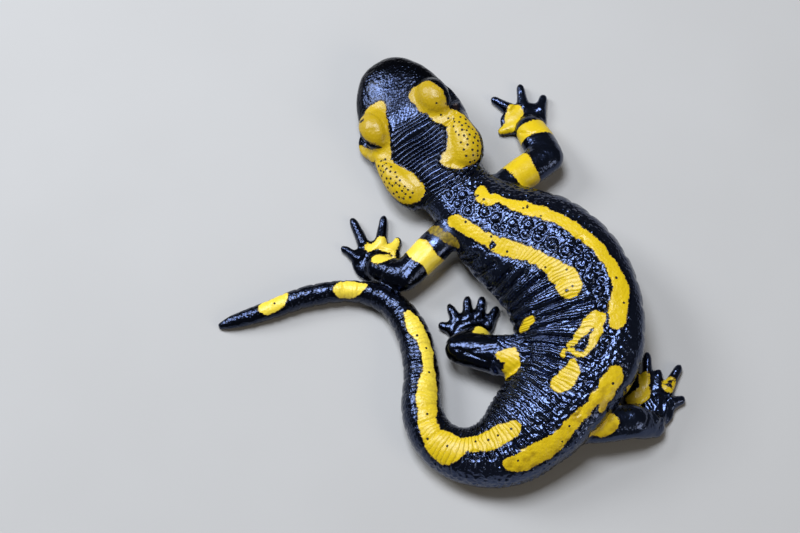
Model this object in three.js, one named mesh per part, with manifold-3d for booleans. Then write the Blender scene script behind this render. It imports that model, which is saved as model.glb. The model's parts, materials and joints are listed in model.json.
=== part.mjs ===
// Fire salamander at rest: a still, life-size animal in millimetres.
// +Z is up, the floor is z = 0, and the origin lies under the middle of its box.
// The snout points up and to the left in plan; the trunk bends clockwise round to the tail.
import * as THREE from 'three';
import { mergeVertices } from 'three/addons/utils/BufferGeometryUtils.js';
import Module from 'manifold-3d';

const wasm = await Module();
wasm.setup();

// ---- driving dimensions -------------------------------------------------------------
const GAP = 0.3; // clearance between neighbouring nodes
const BODY_SIDES = 22; // points round a body section
const LIMB_SIDES = 8;
const TOE_SIDES = 6;
const PLAN_SHIFT = [0.3, 0.67]; // brings the middle of the box of the plan below over the origin

// Head: its own frame runs from the snout tip back (a), to the animal's left (b), up (c).
const HEAD = {
  tip: [-14.7, 44.1], // snout tip in plan
  heading: -63.3, // degrees, from the snout to the nape
  axisHeight: 5.6, // of the long axis of the head above the floor
  roll: 15, // degrees, crown leaning to the animal's left
};
// Sections of the head: a, half-width, top, bottom.
const HEAD_SECTIONS = [
  [0.0, 1.2, 0.3, -1.1],
  [0.5, 3.0, 1.3, -2.0],
  [1.7, 4.9, 2.2, -2.7],
  [3.6, 6.6, 2.9, -3.2],
  [6.8, 8.5, 3.5, -3.8],
  [10.6, 9.7, 3.9, -4.1],
  [14.4, 10.8, 4.1, -4.3],
  [18.2, 11.2, 4.0, -4.4],
  [22.0, 10.7, 3.9, -4.4],
  [25.6, 9.5, 3.8, -4.3],
  [28.4, 8.4, 3.7, -4.2],
];
const EYE = { a: 13.8, b: 7.5, c: 2.3, radius: 2.5, socket: 2.8 };
const LID = { a: 14.2, b: 6.9, c: 2.8, long: 4.3, wide: 3.6, high: 3.1 };
const LID_OPENING = { a: 13.8, c: 1.9, long: 2.5, high: 1.6, from: 8.5 };
// Gland behind the eye, seen from above as a kidney: a, b, c, half-width, half-height.
const GLAND_SECTIONS = [
  [18.2, 9.0, 0.9, 0.5, 0.5],
  [19.5, 8.8, 1.2, 1.8, 1.7],
  [23.0, 8.2, 1.5, 2.7, 2.7],
  [26.6, 7.5, 1.6, 3.3, 3.0],
  [29.6, 6.7, 1.4, 3.2, 2.8],
  [31.4, 6.3, 1.2, 2.1, 1.9],
  [32.0, 6.2, 1.1, 0.8, 0.7],
];
const GLAND_TURN = 0.9; // the neck turns, so the left gland reaches this much further back
const MOUTH = { corner: 19.5, front: -0.9, back: -1.6 }; // line of the closed mouth

// Body stations: x, y, half-width, height, clearance under the belly, ridge offset to the
// outer side of the bend (positive = the animal's right).
const BODY = [
  [-3.2, 21.6, 8.4, 8.1, 1.4, 0],
  [-0.6, 18.2, 7.8, 8.3, 1.2, 0],
  [2.2, 14.6, 7.5, 9.0, 1.0, 0],
  [5.2, 11.2, 8.2, 10.4, 0.6, 0.4],
  [8.6, 8.0, 9.7, 12.0, 0.2, 1.2],
  [12.8, 4.6, 11.2, 13.4, 0, 2.4],
  [17.9, 0.6, 12.3, 14.6, 0, 3.6],
  [22.3, -5.0, 12.7, 15.3, 0, 4.4],
  [24.7, -12.4, 12.6, 15.5, 0, 4.8],
  [24.6, -20.2, 12.1, 15.1, 0, 4.6],
  [21.4, -27.3, 10.4, 14.0, 0, 3.8],
  [16.4, -33.4, 9.5, 12.4, 0, 2.2],
  [10.3, -38.6, 7.8, 10.6, 0, 0.6],
  [3.4, -40.0, 5.7, 9.2, 0, 0],
  [-2.6, -37.2, 4.6, 8.2, 0, 0],
  [-5.6, -31.2, 4.1, 7.6, 0, 0],
  [-5.8, -22.6, 3.6, 6.8, 0, 0],
  [-7.6, -14.2, 3.3, 6.2, 0, 0],
  [-12.2, -7.9, 2.7, 5.4, 0, 0],
  [-19.4, -5.4, 2.2, 4.7, 0, 0],
  [-28.4, -6.4, 2.2, 4.3, 0, 0],
  [-36.8, -9.4, 1.9, 3.5, 0, 0],
  [-43.4, -11.5, 1.4, 2.4, 0, 0],
  [-46.4, -12.4, 0.6, 1.2, 0, 0],
];
// Lengths of the body by station number; neighbours stand GAP apart.
const BODY_PARTS = [
  ['neck', 0.5, 3.0, 4],
  ['trunk_front', 3.0, 6.0, 5],
  ['trunk_middle', 6.0, 9.0, 5],
  ['trunk_rear', 9.0, 12.0, 5],
  ['tail_root', 12.0, 14.5, 5],
  ['tail_bend', 14.5, 17.5, 6],
  ['tail_middle', 17.5, 20.2, 5],
  ['tail_end', 20.2, 23.0, 6],
];
const WIDEST = 0.44; // height of the widest line, as a part of the section's height

// Limbs: root, elbow or knee, and wrist or ankle as [x, y, z, half-width]; pad as [x, y, heading,
// length, width]; each digit as [x, y] of its root and of its tip, the innermost first.
const LIMBS = [
  {
    names: ['upper_arm_left', 'forearm_left', 'hand_left', 'finger_left'],
    joints: [[0.0, 6.2, 5.6, 3.3], [-9.2, -3.1, 4.4, 3.0], [-14.4, -0.2, 2.2, 2.7]],
    pad: [-15.1, 1.8, 118, 7.4, 7.8],
    digits: [[-11.9, 3.0, -10.2, 6.4], [-14.0, 5.0, -13.3, 11.3], [-17.2, 5.0, -19.8, 10.8],
      [-18.1, 1.8, -21.6, 4.5]],
  },
  {
    names: ['upper_arm_right', 'forearm_right', 'hand_right', 'finger_right'],
    joints: [[9.6, 14.9, 5.8, 3.1], [20.2, 23.0, 4.8, 3.4], [17.1, 30.4, 2.4, 3.2]],
    pad: [16.7, 33.4, 112, 6.4, 8.2],
    digits: [[13.8, 31.4, 10.9, 30.5], [13.3, 35.5, 9.5, 38.1], [15.7, 35.6, 14.8, 41.2],
      [19.2, 34.9, 20.2, 38.7]],
  },
  {
    names: ['thigh_left', 'shank_left', 'foot_left', 'toe_left'],
    joints: [[14.4, -21.0, 6.0, 4.3], [2.0, -18.4, 4.8, 3.2], [5.6, -15.0, 2.2, 2.4]],
    pad: [4.0, -13.5, 100, 6.0, 8.8],
    digits: [[7.3, -12.7, 9.5, -8.5], [5.8, -11.0, 6.6, -6.4], [3.7, -11.2, 3.5, -6.2],
      [1.7, -11.6, -0.1, -8.0], [0.8, -13.4, -1.9, -12.1]],
  },
  {
    names: ['thigh_right', 'shank_right', 'foot_right', 'toe_right'],
    joints: [[24.0, -34.6, 6.0, 3.6], [35.6, -33.2, 5.2, 3.4], [40.4, -33.2, 2.4, 2.6]],
    pad: [40.2, -29.6, 84, 7.4, 7.8],
    digits: [[37.0, -26.0, 36.8, -22.1], [38.9, -25.8, 39.3, -18.2], [41.0, -26.2, 41.3, -21.8],
      [42.4, -26.4, 45.6, -20.8], [43.5, -28.4, 45.9, -27.7]],
  },
];
const LIMB_RISE = 0.82; // height of a limb's section for its width
const MUSCLE = 0.25; // swelling of a limb's length midway
const DIGIT = { root: 0.95, tip: 0.7, height: 0.72 }; // half-widths, centre above the floor
const PAD_HEIGHT = 1.3; // half-height of hand and foot pads
const PAD_CENTRE = 0.9;

// ---- colours ------------------------------------------------------------------------
const SKIN = new THREE.MeshStandardMaterial({ color: 0x101216, roughness: 0.3, metalness: 0 });
const YELLOW = new THREE.MeshStandardMaterial({ color: 0xe8c21a, roughness: 0.35, metalness: 0 });
const EYE_BLACK = new THREE.MeshStandardMaterial({ color: 0x050506, roughness: 0.08, metalness: 0 });

// ---- helpers ------------------------------------------------------------------------
const rad = (d) => (d * Math.PI) / 180;
const mix = (a, b, t) => a + (b - a) * t;
const signedPower = (v, p) => Math.sign(v) * Math.abs(v) ** p;

// A row between the stations of a table, on a smooth curve through them.
function rowAt(table, u) {
  const last = table.length - 1;
  const i = Math.min(Math.max(Math.floor(u), 0), last - 1);
  const t = u - i;
  const [p0, p1, p2, p3] = [i - 1, i, i + 1, i + 2].map((k) => table[Math.min(Math.max(k, 0), last)]);
  return p1.map((_, k) => 0.5 * (2 * p1[k] + (p2[k] - p0[k]) * t
    + (2 * p0[k] - 5 * p1[k] + 4 * p2[k] - p3[k]) * t * t
    + (3 * p1[k] - p0[k] - 3 * p2[k] + p3[k]) * t ** 3));
}

// Closed skin through rings of equal length, with a flat fan at each end.
function loft(rings) {
  const n = rings[0].length;
  const points = rings.flat();
  const tri = [];
  for (let r = 0; r + 1 < rings.length; r += 1) {
    for (let k = 0; k < n; k += 1) {
      const a = r * n + k;
      const b = r * n + ((k + 1) % n);
      tri.push(a, b, a + n, b, b + n, a + n);
    }
  }
  for (const [r, flip] of [[0, true], [rings.length - 1, false]]) {
    const centre = [0, 1, 2].map((k) => rings[r].reduce((s, p) => s + p[k], 0) / n);
    points.push(centre);
    for (let k = 0; k < n; k += 1) {
      const a = r * n + k;
      const b = r * n + ((k + 1) % n);
      tri.push(...(flip ? [points.length - 1, b, a] : [points.length - 1, a, b]));
    }
  }
  const build = (indices) => new wasm.Manifold(new wasm.Mesh({
    numProp: 3,
    vertProperties: new Float32Array(points.flat()),
    triVerts: new Uint32Array(indices),
  }));
  const solid = build(tri);
  if (solid.volume() > 0) return solid;
  for (let k = 0; k < tri.length; k += 3) [tri[k], tri[k + 1]] = [tri[k + 1], tri[k]];
  return build(tri);
}

// Everything below the floor, to trim soles and belly flat.
const ground = (() => {
  const box = new THREE.BoxGeometry(200, 200, 20).translate(0, 0, -10);
  box.deleteAttribute('normal');
  box.deleteAttribute('uv');
  const merged = mergeVertices(box);
  return new wasm.Manifold(new wasm.Mesh({
    numProp: 3,
    vertProperties: new Float32Array(merged.attributes.position.array),
    triVerts: new Uint32Array(merged.index.array),
  }));
})();
const onFloor = (solid) => solid.subtract(ground);

// What is left of a cut piece without the slivers beside it.
const mainPiece = (solid) => solid.decompose().reduce((a, b) => (b.volume() > a.volume() ? b : a));

// Section of the body at station u: a broad oval with its ridge pushed sideways.
function bodyRing(u, grow = 0) {
  const [x, y, w, h, lift, ridge] = rowAt(BODY, u);
  const [xa, ya] = rowAt(BODY, u - 0.02);
  const [xb, yb] = rowAt(BODY, u + 0.02);
  const angle = Math.atan2(yb - ya, xb - xa);
  const right = [-Math.sin(angle), Math.cos(angle)]; // the animal's right, facing forward
  const middle = lift + WIDEST * h;
  const ring = [];
  for (let k = 0; k < BODY_SIDES; k += 1) {
    const t = (2 * Math.PI * k) / BODY_SIDES;
    const up = signedPower(Math.cos(t), 0.95);
    const side = signedPower(Math.sin(t), 0.9) * (w + grow) + ridge * Math.max(up, 0) ** 1.4;
    const rise = up > 0 ? (1 - WIDEST) * h + grow : (WIDEST + 0.06) * h + grow;
    ring.push([x + right[0] * side, y + right[1] * side, middle + up * rise]);
  }
  return ring;
}

function bodyLength(from, to, count, grow = 0) {
  const rings = [];
  for (let k = 0; k <= count; k += 1) rings.push(bodyRing(mix(from, to, k / count), grow));
  return onFloor(loft(rings));
}

// Station step that moves a cut by the given distance along the body.
function stationStep(u, distance) {
  const [xa, ya] = rowAt(BODY, u - 0.05);
  const [xb, yb] = rowAt(BODY, u + 0.05);
  return (distance * 0.1) / Math.hypot(xb - xa, yb - ya);
}

// A point of the head frame in the shared frame; side is +1 for the animal's left.
function headPoint(a, b, c) {
  const h = rad(HEAD.heading);
  const back = [Math.cos(h), Math.sin(h)];
  const left = [back[1], -back[0]];
  const r = rad(HEAD.roll);
  const across = b * Math.cos(r) + c * Math.sin(r);
  const rise = -b * Math.sin(r) + c * Math.cos(r);
  return [HEAD.tip[0] + back[0] * a + left[0] * across, HEAD.tip[1] + back[1] * a + left[1] * across,
    HEAD.axisHeight + rise];
}

function headOval(a, b, c, wide, up, down, sides, power) {
  const ring = [];
  for (let k = 0; k < sides; k += 1) {
    const t = (2 * Math.PI * k) / sides;
    const v = signedPower(Math.cos(t), power);
    ring.push(headPoint(a, b + wide * signedPower(Math.sin(t), power), c + v * (v > 0 ? up : down)));
  }
  return ring;
}

// Egg shape in the head frame, its long axis along the head.
function headEgg(a, b, c, long, wide, high, sides = 12, rings = 6) {
  const list = [];
  for (let k = 0; k <= rings; k += 1) {
    const t = mix(0.06, 0.94, k / rings) * Math.PI;
    list.push(headOval(a - long * Math.cos(t), b, c, wide * Math.sin(t), high * Math.sin(t),
      high * Math.sin(t), sides, 1));
  }
  return loft(list);
}

// Straight block across the head over a closed outline in (a, c).
function headPrism(outline, half, centre = 0) {
  return loft([1, -1].map((s) => outline.map(([a, c]) => headPoint(a, centre + s * half, c))));
}

function gland(side, grow = 0) {
  return loft(GLAND_SECTIONS.map(([a, b, c, w, h], i) => {
    const end = i === 0 ? -grow : i === GLAND_SECTIONS.length - 1 ? grow : 0;
    const shift = side * GLAND_TURN * ((a - 18) / 14);
    return headOval(a + end + shift, side * b, c, w + grow, h + grow, h + grow, 14, 1);
  }));
}

// One length of a limb: a tapered round bar with domed ends, fuller midway.
function limbLength(from, to, grow = 0) {
  const a = new THREE.Vector3(...from);
  const along = new THREE.Vector3(...to).sub(a);
  const reach = along.length();
  along.normalize();
  const side = new THREE.Vector3(0, 0, 1).cross(along).normalize();
  const over = new THREE.Vector3().crossVectors(along, side);
  const places = []; // distance along the bar and radius there
  const dome = (radius, q) => [Math.sin(rad(q)) * radius, Math.cos(rad(q)) * radius];
  for (const q of [-80, -50, -22]) places.push(dome(from[3] + grow, q));
  for (let k = 0; k <= 4; k += 1) {
    places.push([(reach * k) / 4, mix(from[3], to[3], k / 4) + MUSCLE * Math.sin((Math.PI * k) / 4) + grow]);
  }
  for (const q of [22, 50, 80]) {
    const [past, r] = dome(to[3] + grow, q);
    places.push([reach + past, r]);
  }
  return onFloor(loft(places.map(([d, r]) => {
    const ring = [];
    for (let j = 0; j < LIMB_SIDES; j += 1) {
      const t = (2 * Math.PI * j) / LIMB_SIDES;
      const p = a.clone().addScaledVector(along, d)
        .addScaledVector(side, r * Math.cos(t)).addScaledVector(over, r * LIMB_RISE * Math.sin(t));
      ring.push([p.x, p.y, p.z]);
    }
    return ring;
  })));
}

// Flat-soled pad of a hand or foot.
function pad([x, y, heading, length, width], grow = 0) {
  const h = rad(heading);
  const rings = [];
  for (let k = 0; k <= 5; k += 1) {
    const t = mix(0.08, 0.92, k / 5) * Math.PI;
    const along = -Math.cos(t) * (length / 2 + grow);
    const s = Math.sin(t) ** 0.8;
    const ring = [];
    for (let j = 0; j < 10; j += 1) {
      const q = (2 * Math.PI * (j + 0.5)) / 10;
      const across = Math.cos(q) * s * (width / 2 + grow);
      ring.push([x + Math.cos(h) * along - Math.sin(h) * across,
        y + Math.sin(h) * along + Math.cos(h) * across,
        PAD_CENTRE + Math.sin(q) * s * (PAD_HEIGHT + grow)]);
    }
    rings.push(ring);
  }
  return onFloor(loft(rings));
}

// One digit: a flat-soled finger from its root in the pad to its rounded tip.
function digit([rootX, rootY, tipX, tipY], grow = 0) {
  const heading = Math.atan2(tipY - rootY, tipX - rootX);
  const start = [rootX, rootY];
  const reach = Math.hypot(tipX - rootX, tipY - rootY);
  const profile = [[0, 1], [0.55, 0.9], [0.82, 0.96], [0.95, 0.7], [1, 0.3]];
  const rings = profile.map(([f, scale], i) => {
    const end = i === profile.length - 1 ? grow : 0;
    const r = mix(DIGIT.root, DIGIT.tip, f) * scale + grow;
    const ring = [];
    for (let j = 0; j < TOE_SIDES; j += 1) {
      const q = (2 * Math.PI * (j + 0.5)) / TOE_SIDES;
      const along = f * reach + end;
      ring.push([start[0] + Math.cos(heading) * along - Math.sin(heading) * Math.cos(q) * r,
        start[1] + Math.sin(heading) * along + Math.cos(heading) * Math.cos(q) * r,
        DIGIT.height + Math.sin(q) * (r + 0.06)]);
    }
    return ring;
  });
  return onFloor(loft(rings));
}

// ---- the animal -----------------------------------------------------------------------
const animal = new THREE.Group();
animal.name = 'fire_salamander';

function addNode(name, solid, material) {
  const mesh = solid.getMesh();
  const geometry = new THREE.BufferGeometry();
  geometry.setAttribute('position', new THREE.BufferAttribute(new Float32Array(mesh.vertProperties), 3));
  geometry.setIndex(new THREE.BufferAttribute(new Uint32Array(mesh.triVerts), 1));
  geometry.translate(PLAN_SHIFT[0], PLAN_SHIFT[1], 0);
  geometry.computeVertexNormals();
  const node = new THREE.Mesh(geometry, material);
  node.name = name;
  animal.add(node);
}

// Snout and crown without the lids.
const skull = (grow = 0) => loft(HEAD_SECTIONS.map(([a, w, top, bottom], i) => headOval(
  a + (i === HEAD_SECTIONS.length - 1 ? grow : 0), 0, 0, w + grow, top + grow, grow - bottom, 22, 0.86)));

// Head: the skull with the two lid domes, less the sockets, glands and lower jaw.
let face = skull();
for (const side of [1, -1]) {
  face = face.add(headEgg(LID.a, side * LID.b, LID.c, LID.long, LID.wide, LID.high));
}
for (const side of [1, -1]) {
  face = face.subtract(headEgg(EYE.a, side * EYE.b, EYE.c, EYE.socket, EYE.socket, EYE.socket));
  const opening = [];
  for (let k = 0; k < 12; k += 1) {
    const t = (2 * Math.PI * k) / 12;
    opening.push([LID_OPENING.a + LID_OPENING.long * Math.cos(t),
      LID_OPENING.c + LID_OPENING.high * Math.sin(t)]);
  }
  face = face.subtract(headPrism(opening, 3, side * (LID_OPENING.from + 3)));
  face = face.subtract(gland(side, GAP));
}
const jawOutline = (raise) => [
  [-3, MOUTH.front + raise], [9, MOUTH.front - 0.1 + raise], [MOUTH.corner + raise, MOUTH.back + raise],
  [MOUTH.corner + 3.5 + raise, -9], [-3, -9],
];
addNode('head', face.subtract(headPrism(jawOutline(GAP), 16)), SKIN);
addNode('lower_jaw', face.intersect(headPrism(jawOutline(0), 16)), SKIN);
for (const [side, tag] of [[1, 'left'], [-1, 'right']]) {
  addNode(`eye_${tag}`, headEgg(EYE.a, side * EYE.b, EYE.c, EYE.radius, EYE.radius, EYE.radius), EYE_BLACK);
  addNode(`gland_${tag}`, gland(side), YELLOW);
}

// Neck, trunk and tail.
for (const [name, from, to, count] of BODY_PARTS) {
  const start = from + (name === 'neck' ? 0 : stationStep(from, GAP / 2));
  const end = to - (name === 'tail_end' ? 0 : stationStep(to, GAP / 2));
  let solid = bodyLength(start, end, count);
  if (name === 'neck') solid = solid.subtract(skull(GAP)).subtract(gland(1, GAP)).subtract(gland(-1, GAP));
  addNode(name, solid, SKIN);
}

// Limbs, each cut clear of the trunk, then its pad and digits.
const trunk = bodyLength(2.0, 13.0, 22, GAP);
for (const limb of LIMBS) {
  const [upperName, lowerName, padName, digitName] = limb.names;
  const [root, bend, end] = limb.joints;
  let taken = pad(limb.pad, GAP);
  addNode(upperName, mainPiece(limbLength(root, bend).subtract(trunk)), SKIN);
  const lower = limbLength(bend, end).subtract(taken).subtract(limbLength(root, bend, GAP));
  addNode(lowerName, mainPiece(lower.subtract(trunk)), SKIN);
  addNode(padName, pad(limb.pad), SKIN);
  const lowerGrown = limbLength(bend, end, GAP);
  limb.digits.forEach((places, i) => {
    addNode(`${digitName}_${i + 1}`, mainPiece(digit(places).subtract(taken).subtract(lowerGrown)), SKIN);
    taken = taken.add(digit(places, GAP));
  });
}

export default animal;
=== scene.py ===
# %% [markdown]
# # A fire salamander at rest
# The animal is about 188 mm long and lies bent on the floor. Its solids are already made and come
# in as a fixed frame: head, neck, lengths of trunk and tail, limbs, digits and eyes. Here one wet
# skin is drawn over all the flesh, the eyes get their cornea, and the markings are painted by
# measure, in the animal's own directions: along the back, across it, and down its sides.

# %% The frame
import json
import math

import bpy
import numpy as np
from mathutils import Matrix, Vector

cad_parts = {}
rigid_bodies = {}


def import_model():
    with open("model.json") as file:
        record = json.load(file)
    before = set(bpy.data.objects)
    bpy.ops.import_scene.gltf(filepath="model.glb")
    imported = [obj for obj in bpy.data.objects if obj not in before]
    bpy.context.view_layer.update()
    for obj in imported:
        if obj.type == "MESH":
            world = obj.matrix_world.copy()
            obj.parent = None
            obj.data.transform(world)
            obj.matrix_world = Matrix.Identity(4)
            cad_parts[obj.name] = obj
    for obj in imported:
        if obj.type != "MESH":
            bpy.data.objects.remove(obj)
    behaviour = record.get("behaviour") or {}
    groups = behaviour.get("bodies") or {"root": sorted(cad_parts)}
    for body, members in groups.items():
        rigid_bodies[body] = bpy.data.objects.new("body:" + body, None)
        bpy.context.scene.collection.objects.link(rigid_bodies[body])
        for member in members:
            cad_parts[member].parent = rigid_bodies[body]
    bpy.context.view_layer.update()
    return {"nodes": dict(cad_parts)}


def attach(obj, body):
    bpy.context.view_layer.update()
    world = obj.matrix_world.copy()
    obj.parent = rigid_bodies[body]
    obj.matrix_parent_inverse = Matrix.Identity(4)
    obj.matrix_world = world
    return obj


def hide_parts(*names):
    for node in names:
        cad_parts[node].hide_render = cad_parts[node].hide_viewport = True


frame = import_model()
MM = 0.001
PLAN_SHIFT = np.array([0.3, 0.67, 0.0])  # mm: from the plan the animal is drawn in to the frame
FLESH = sorted(name for name in frame["nodes"] if not name.startswith("eye_"))
print("frame:", len(frame["nodes"]), "nodes,", len(FLESH), "of flesh")

# %% [markdown]
# ## Camera
# The animal is seen from nearly overhead: the camera stands 69 degrees above the floor, on the
# side of the tail bend. It comes first, because the finest folds are only as fine as it can show.

# %% Camera
AIM = (np.array([-10.0, -1.5, 6.0]) + PLAN_SHIFT) * MM
ELEVATION = math.radians(69)
VIEW_ANGLE = math.radians(24)
DISTANCE = 0.3764
camera_data = bpy.data.cameras.new("camera")
camera_data.angle = VIEW_ANGLE
camera_data.clip_start = 0.01
camera_data.clip_end = 5.0
camera = bpy.data.objects.new("camera", camera_data)
camera.location = AIM + DISTANCE * np.array([0, -math.cos(ELEVATION), math.sin(ELEVATION)])
camera.rotation_euler = (math.pi / 2 - ELEVATION, 0, 0)
bpy.context.scene.collection.objects.link(camera)
bpy.context.scene.camera = camera
print("camera at", [round(v, 3) for v in camera.location])

# %% [markdown]
# ## The body as a row of sections
# A salamander's trunk and tail are a soft tube. It could be modelled as a subdivided cage, but a
# row of measured sections is easier to bend: each row below is one station of the middle line,
# with the width and height of the oval there. A smooth curve through the rows fills in the rest.

# %% Stations of the body
# x, y, half-width, height, clearance under the belly, ridge offset to the animal's right; in mm.
BODY = np.array([
    [-3.2, 21.6, 8.4, 8.1, 1.4, 0], [-0.6, 18.2, 7.8, 8.3, 1.2, 0], [2.2, 14.6, 7.5, 9, 1, 0],
    [5.2, 11.2, 8.2, 10.4, 0.6, 0.4], [8.6, 8, 9.7, 12, 0.2, 1.2], [12.8, 4.6, 11.2, 13.4, 0, 2.4],
    [17.9, 0.6, 12.3, 14.6, 0, 3.6], [22.3, -5, 12.7, 15.3, 0, 4.4],
    [24.7, -12.4, 12.6, 15.5, 0, 4.8], [24.6, -20.2, 12.1, 15.1, 0, 4.6],
    [21.4, -27.3, 10.4, 14, 0, 3.8], [16.4, -33.4, 9.5, 12.4, 0, 2.2],
    [10.3, -38.6, 7.8, 10.6, 0, 0.6], [3.4, -40, 5.7, 9.2, 0, 0], [-2.6, -37.2, 4.6, 8.2, 0, 0],
    [-5.6, -31.2, 4.1, 7.6, 0, 0], [-5.8, -22.6, 3.6, 6.8, 0, 0], [-7.6, -14.2, 3.3, 6.2, 0, 0],
    [-12.2, -7.9, 2.7, 5.4, 0, 0], [-19.4, -5.4, 2.2, 4.7, 0, 0], [-28.4, -6.4, 2.2, 4.3, 0, 0],
    [-36.8, -9.4, 1.9, 3.5, 0, 0], [-43.4, -11.5, 1.4, 2.4, 0, 0], [-46.4, -12.4, 0.6, 1.2, 0, 0]])
LAST = len(BODY) - 1
WIDEST = 0.44  # height of the widest line, as a part of the section's height
SAG = 0.06  # how much further than that the belly reaches down
OVAL = {"up": 0.95, "side": 0.9, "lean": 1.4}  # powers of the section; below 1 it is squarer
print("stations:", len(BODY), " widest: %.1f mm" % (2 * BODY[:, 2].max()))

# %% Rows between the stations


def row_at(table, u):
    """Row between stations: the cubic through the two rows before and the two after place u,
    with the slope at each row taken from its neighbours."""
    u = np.atleast_1d(np.asarray(u, float))
    last = len(table) - 1
    i = np.clip(np.floor(u).astype(int), 0, last - 1)
    t = (u - i)[:, None]
    before, here, after, beyond = [table[np.clip(i + k, 0, last)] for k in (-1, 0, 1, 2)]
    return 0.5 * (2 * here + (after - before) * t
                  + (2 * before - 5 * here + 4 * after - beyond) * t ** 2
                  + (3 * here - before - 3 * after + beyond) * t ** 3)


def across_at(u):
    """Unit vector across the body, towards the animal's right: the course of the middle line
    turned by a quarter."""
    step = row_at(BODY, np.asarray(u) + 0.02) - row_at(BODY, np.asarray(u) - 0.02)
    course = np.arctan2(step[:, 1], step[:, 0])
    return np.stack([-np.sin(course), np.cos(course)], 1)


def signed_power(v, p):
    return np.sign(v) * np.abs(v) ** p


def smoothstep(low, high, v):
    t = np.clip((v - low) / (high - low), 0, 1)
    return t * t * (3 - 2 * t)


def bell(v, width):
    return np.exp(-(v / width) ** 2)
print("half-way along: x, y", row_at(BODY, LAST / 2)[0, :2].round(1))

# %% Surface of the body


def body_surface(u, turn):
    """Point of the body at station u and angle turn round the section: an oval with its widest
    line low down, whose upper half leans sideways by the ridge offset."""
    row, across = row_at(BODY, u), across_at(u)
    up = signed_power(np.cos(turn), OVAL["up"])
    lean = row[:, 5] * np.maximum(up, 0) ** OVAL["lean"]
    side = signed_power(np.sin(turn), OVAL["side"]) * row[:, 2] + lean
    rise = np.where(up > 0, 1 - WIDEST, WIDEST + SAG) * row[:, 3]
    flat = row[:, :2] + across * side[:, None]
    return np.column_stack([flat, row[:, 4] + WIDEST * row[:, 3] + up * rise])


stations = np.arange(0, LAST + 0.001, 0.02)
middle = row_at(BODY, stations)
run = np.r_[0, np.cumsum(np.hypot(*np.diff(middle[:, :2], axis=0).T))]
print("body: %.0f mm along the middle line, %.1f mm high" % (run[-1], middle[:, 3].max()))

# %% [markdown]
# ## Closed shells
# Every part of the flesh is first a closed shell: rings of points joined side by side, with a fan
# at each end. The shells overlap freely, because they are fused into one skin afterwards.

# %% Rings to shells
shells = []  # (points, triangles) in plan millimetres


def add_shell(rings):
    """Closed shell over a grid of points, rings x sides: two triangles for each cell, and a fan
    round the middle of the first and of the last ring."""
    count, sides = rings.shape[:2]
    ring, side = np.meshgrid(np.arange(count - 1), np.arange(sides), indexing="ij")
    a = (ring * sides + side).ravel()
    b = (ring * sides + (side + 1) % sides).ravel()
    walls = np.concatenate([np.stack([a, b, a + sides], 1),
                            np.stack([b, b + sides, a + sides], 1)])
    k = np.arange(sides)
    first, last = count * sides, count * sides + 1
    start = np.stack([np.full(sides, first), (k + 1) % sides, k], 1)
    top = (count - 1) * sides
    end = np.stack([np.full(sides, last), top + k, top + (k + 1) % sides], 1)
    points = np.concatenate([rings.reshape(-1, 3), rings[:1].mean(1), rings[-1:].mean(1)])
    tris = np.concatenate([walls, start, end])
    corner = points[tris]
    volume = np.einsum("ij,ij->i", corner[:, 0], np.cross(corner[:, 1], corner[:, 2])).sum()
    shells.append((points, tris if volume > 0 else tris[:, ::-1]))


def grid(u, v):
    """All pairs of the two lists, as two flat arrays, and the shape to fold them back into."""
    a, b = np.meshgrid(u, v, indexing="ij")
    return a.ravel(), b.ravel(), a.shape + (3,)


def add_surface(surface, places, step, *more):
    """Shell of a surface that is a function of place and turn, with a side every so many
    degrees."""
    place, turn, fold = grid(places, np.radians(np.arange(0, 360, step)))
    add_shell(surface(place, turn, *more).reshape(fold))


add_surface(body_surface, np.r_[np.arange(0, 22.95, 0.1), 22.97, 23.0], 5)
print("body shell:", len(shells[-1][1]), "triangles")

# %% [markdown]
# ## Head
# The head of a fire salamander is broad and flat, with a round snout, cheeks that are widest
# behind the eyes, and a large gland on each side behind them. It has a frame of its own: a runs
# from the snout tip back, b to the animal's left, c up from the head's long axis. The frame is
# turned towards the snout and rolled by 15 degrees, as the resting head leans over.

# %% Head frame
HEAD = {"tip": (-14.7, 44.1), "heading": math.radians(-63.3), "axis_height": 5.6,
        "roll": math.radians(15)}
back = np.array([math.cos(HEAD["heading"]), math.sin(HEAD["heading"]), 0])
level_left = np.array([back[1], -back[0], 0])
cos_roll, sin_roll = math.cos(HEAD["roll"]), math.sin(HEAD["roll"])
HEAD_AXES = np.array([back,
                      level_left * cos_roll - np.array([0, 0, 1]) * sin_roll,
                      level_left * sin_roll + np.array([0, 0, 1]) * cos_roll])
HEAD_ORIGIN = np.array([*HEAD["tip"], HEAD["axis_height"]])


def from_head(abc):
    """Point of the head frame in the plan: origin plus a, b, c along the head's three axes."""
    return HEAD_ORIGIN + np.asarray(abc) @ HEAD_AXES


def to_head(points):
    return (points - HEAD_ORIGIN) @ HEAD_AXES.T


print("head axes:", HEAD_AXES.round(2).tolist())

# %% Measures of the head
# Sections of the head: a, half-width, top, bottom.
SKULL = np.array([
    [0.0, 1.2, 0.3, -1.1], [0.5, 3.0, 1.3, -2.0], [1.7, 4.9, 2.2, -2.7], [3.6, 6.6, 2.9, -3.2],
    [6.8, 8.5, 3.5, -3.8], [10.6, 9.7, 3.9, -4.1], [14.4, 10.8, 4.1, -4.3], [18.2, 11.2, 4.0, -4.4],
    [22.0, 10.7, 3.9, -4.4], [25.6, 9.5, 3.8, -4.3], [28.4, 8.4, 3.7, -4.2]])
EYE = {"a": 13.8, "b": 7.5, "c": 2.3, "radius": 2.5}
LID = {"a": 14.2, "b": 6.9, "c": 2.8, "long": 4.3, "wide": 3.6, "high": 3.1}
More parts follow.
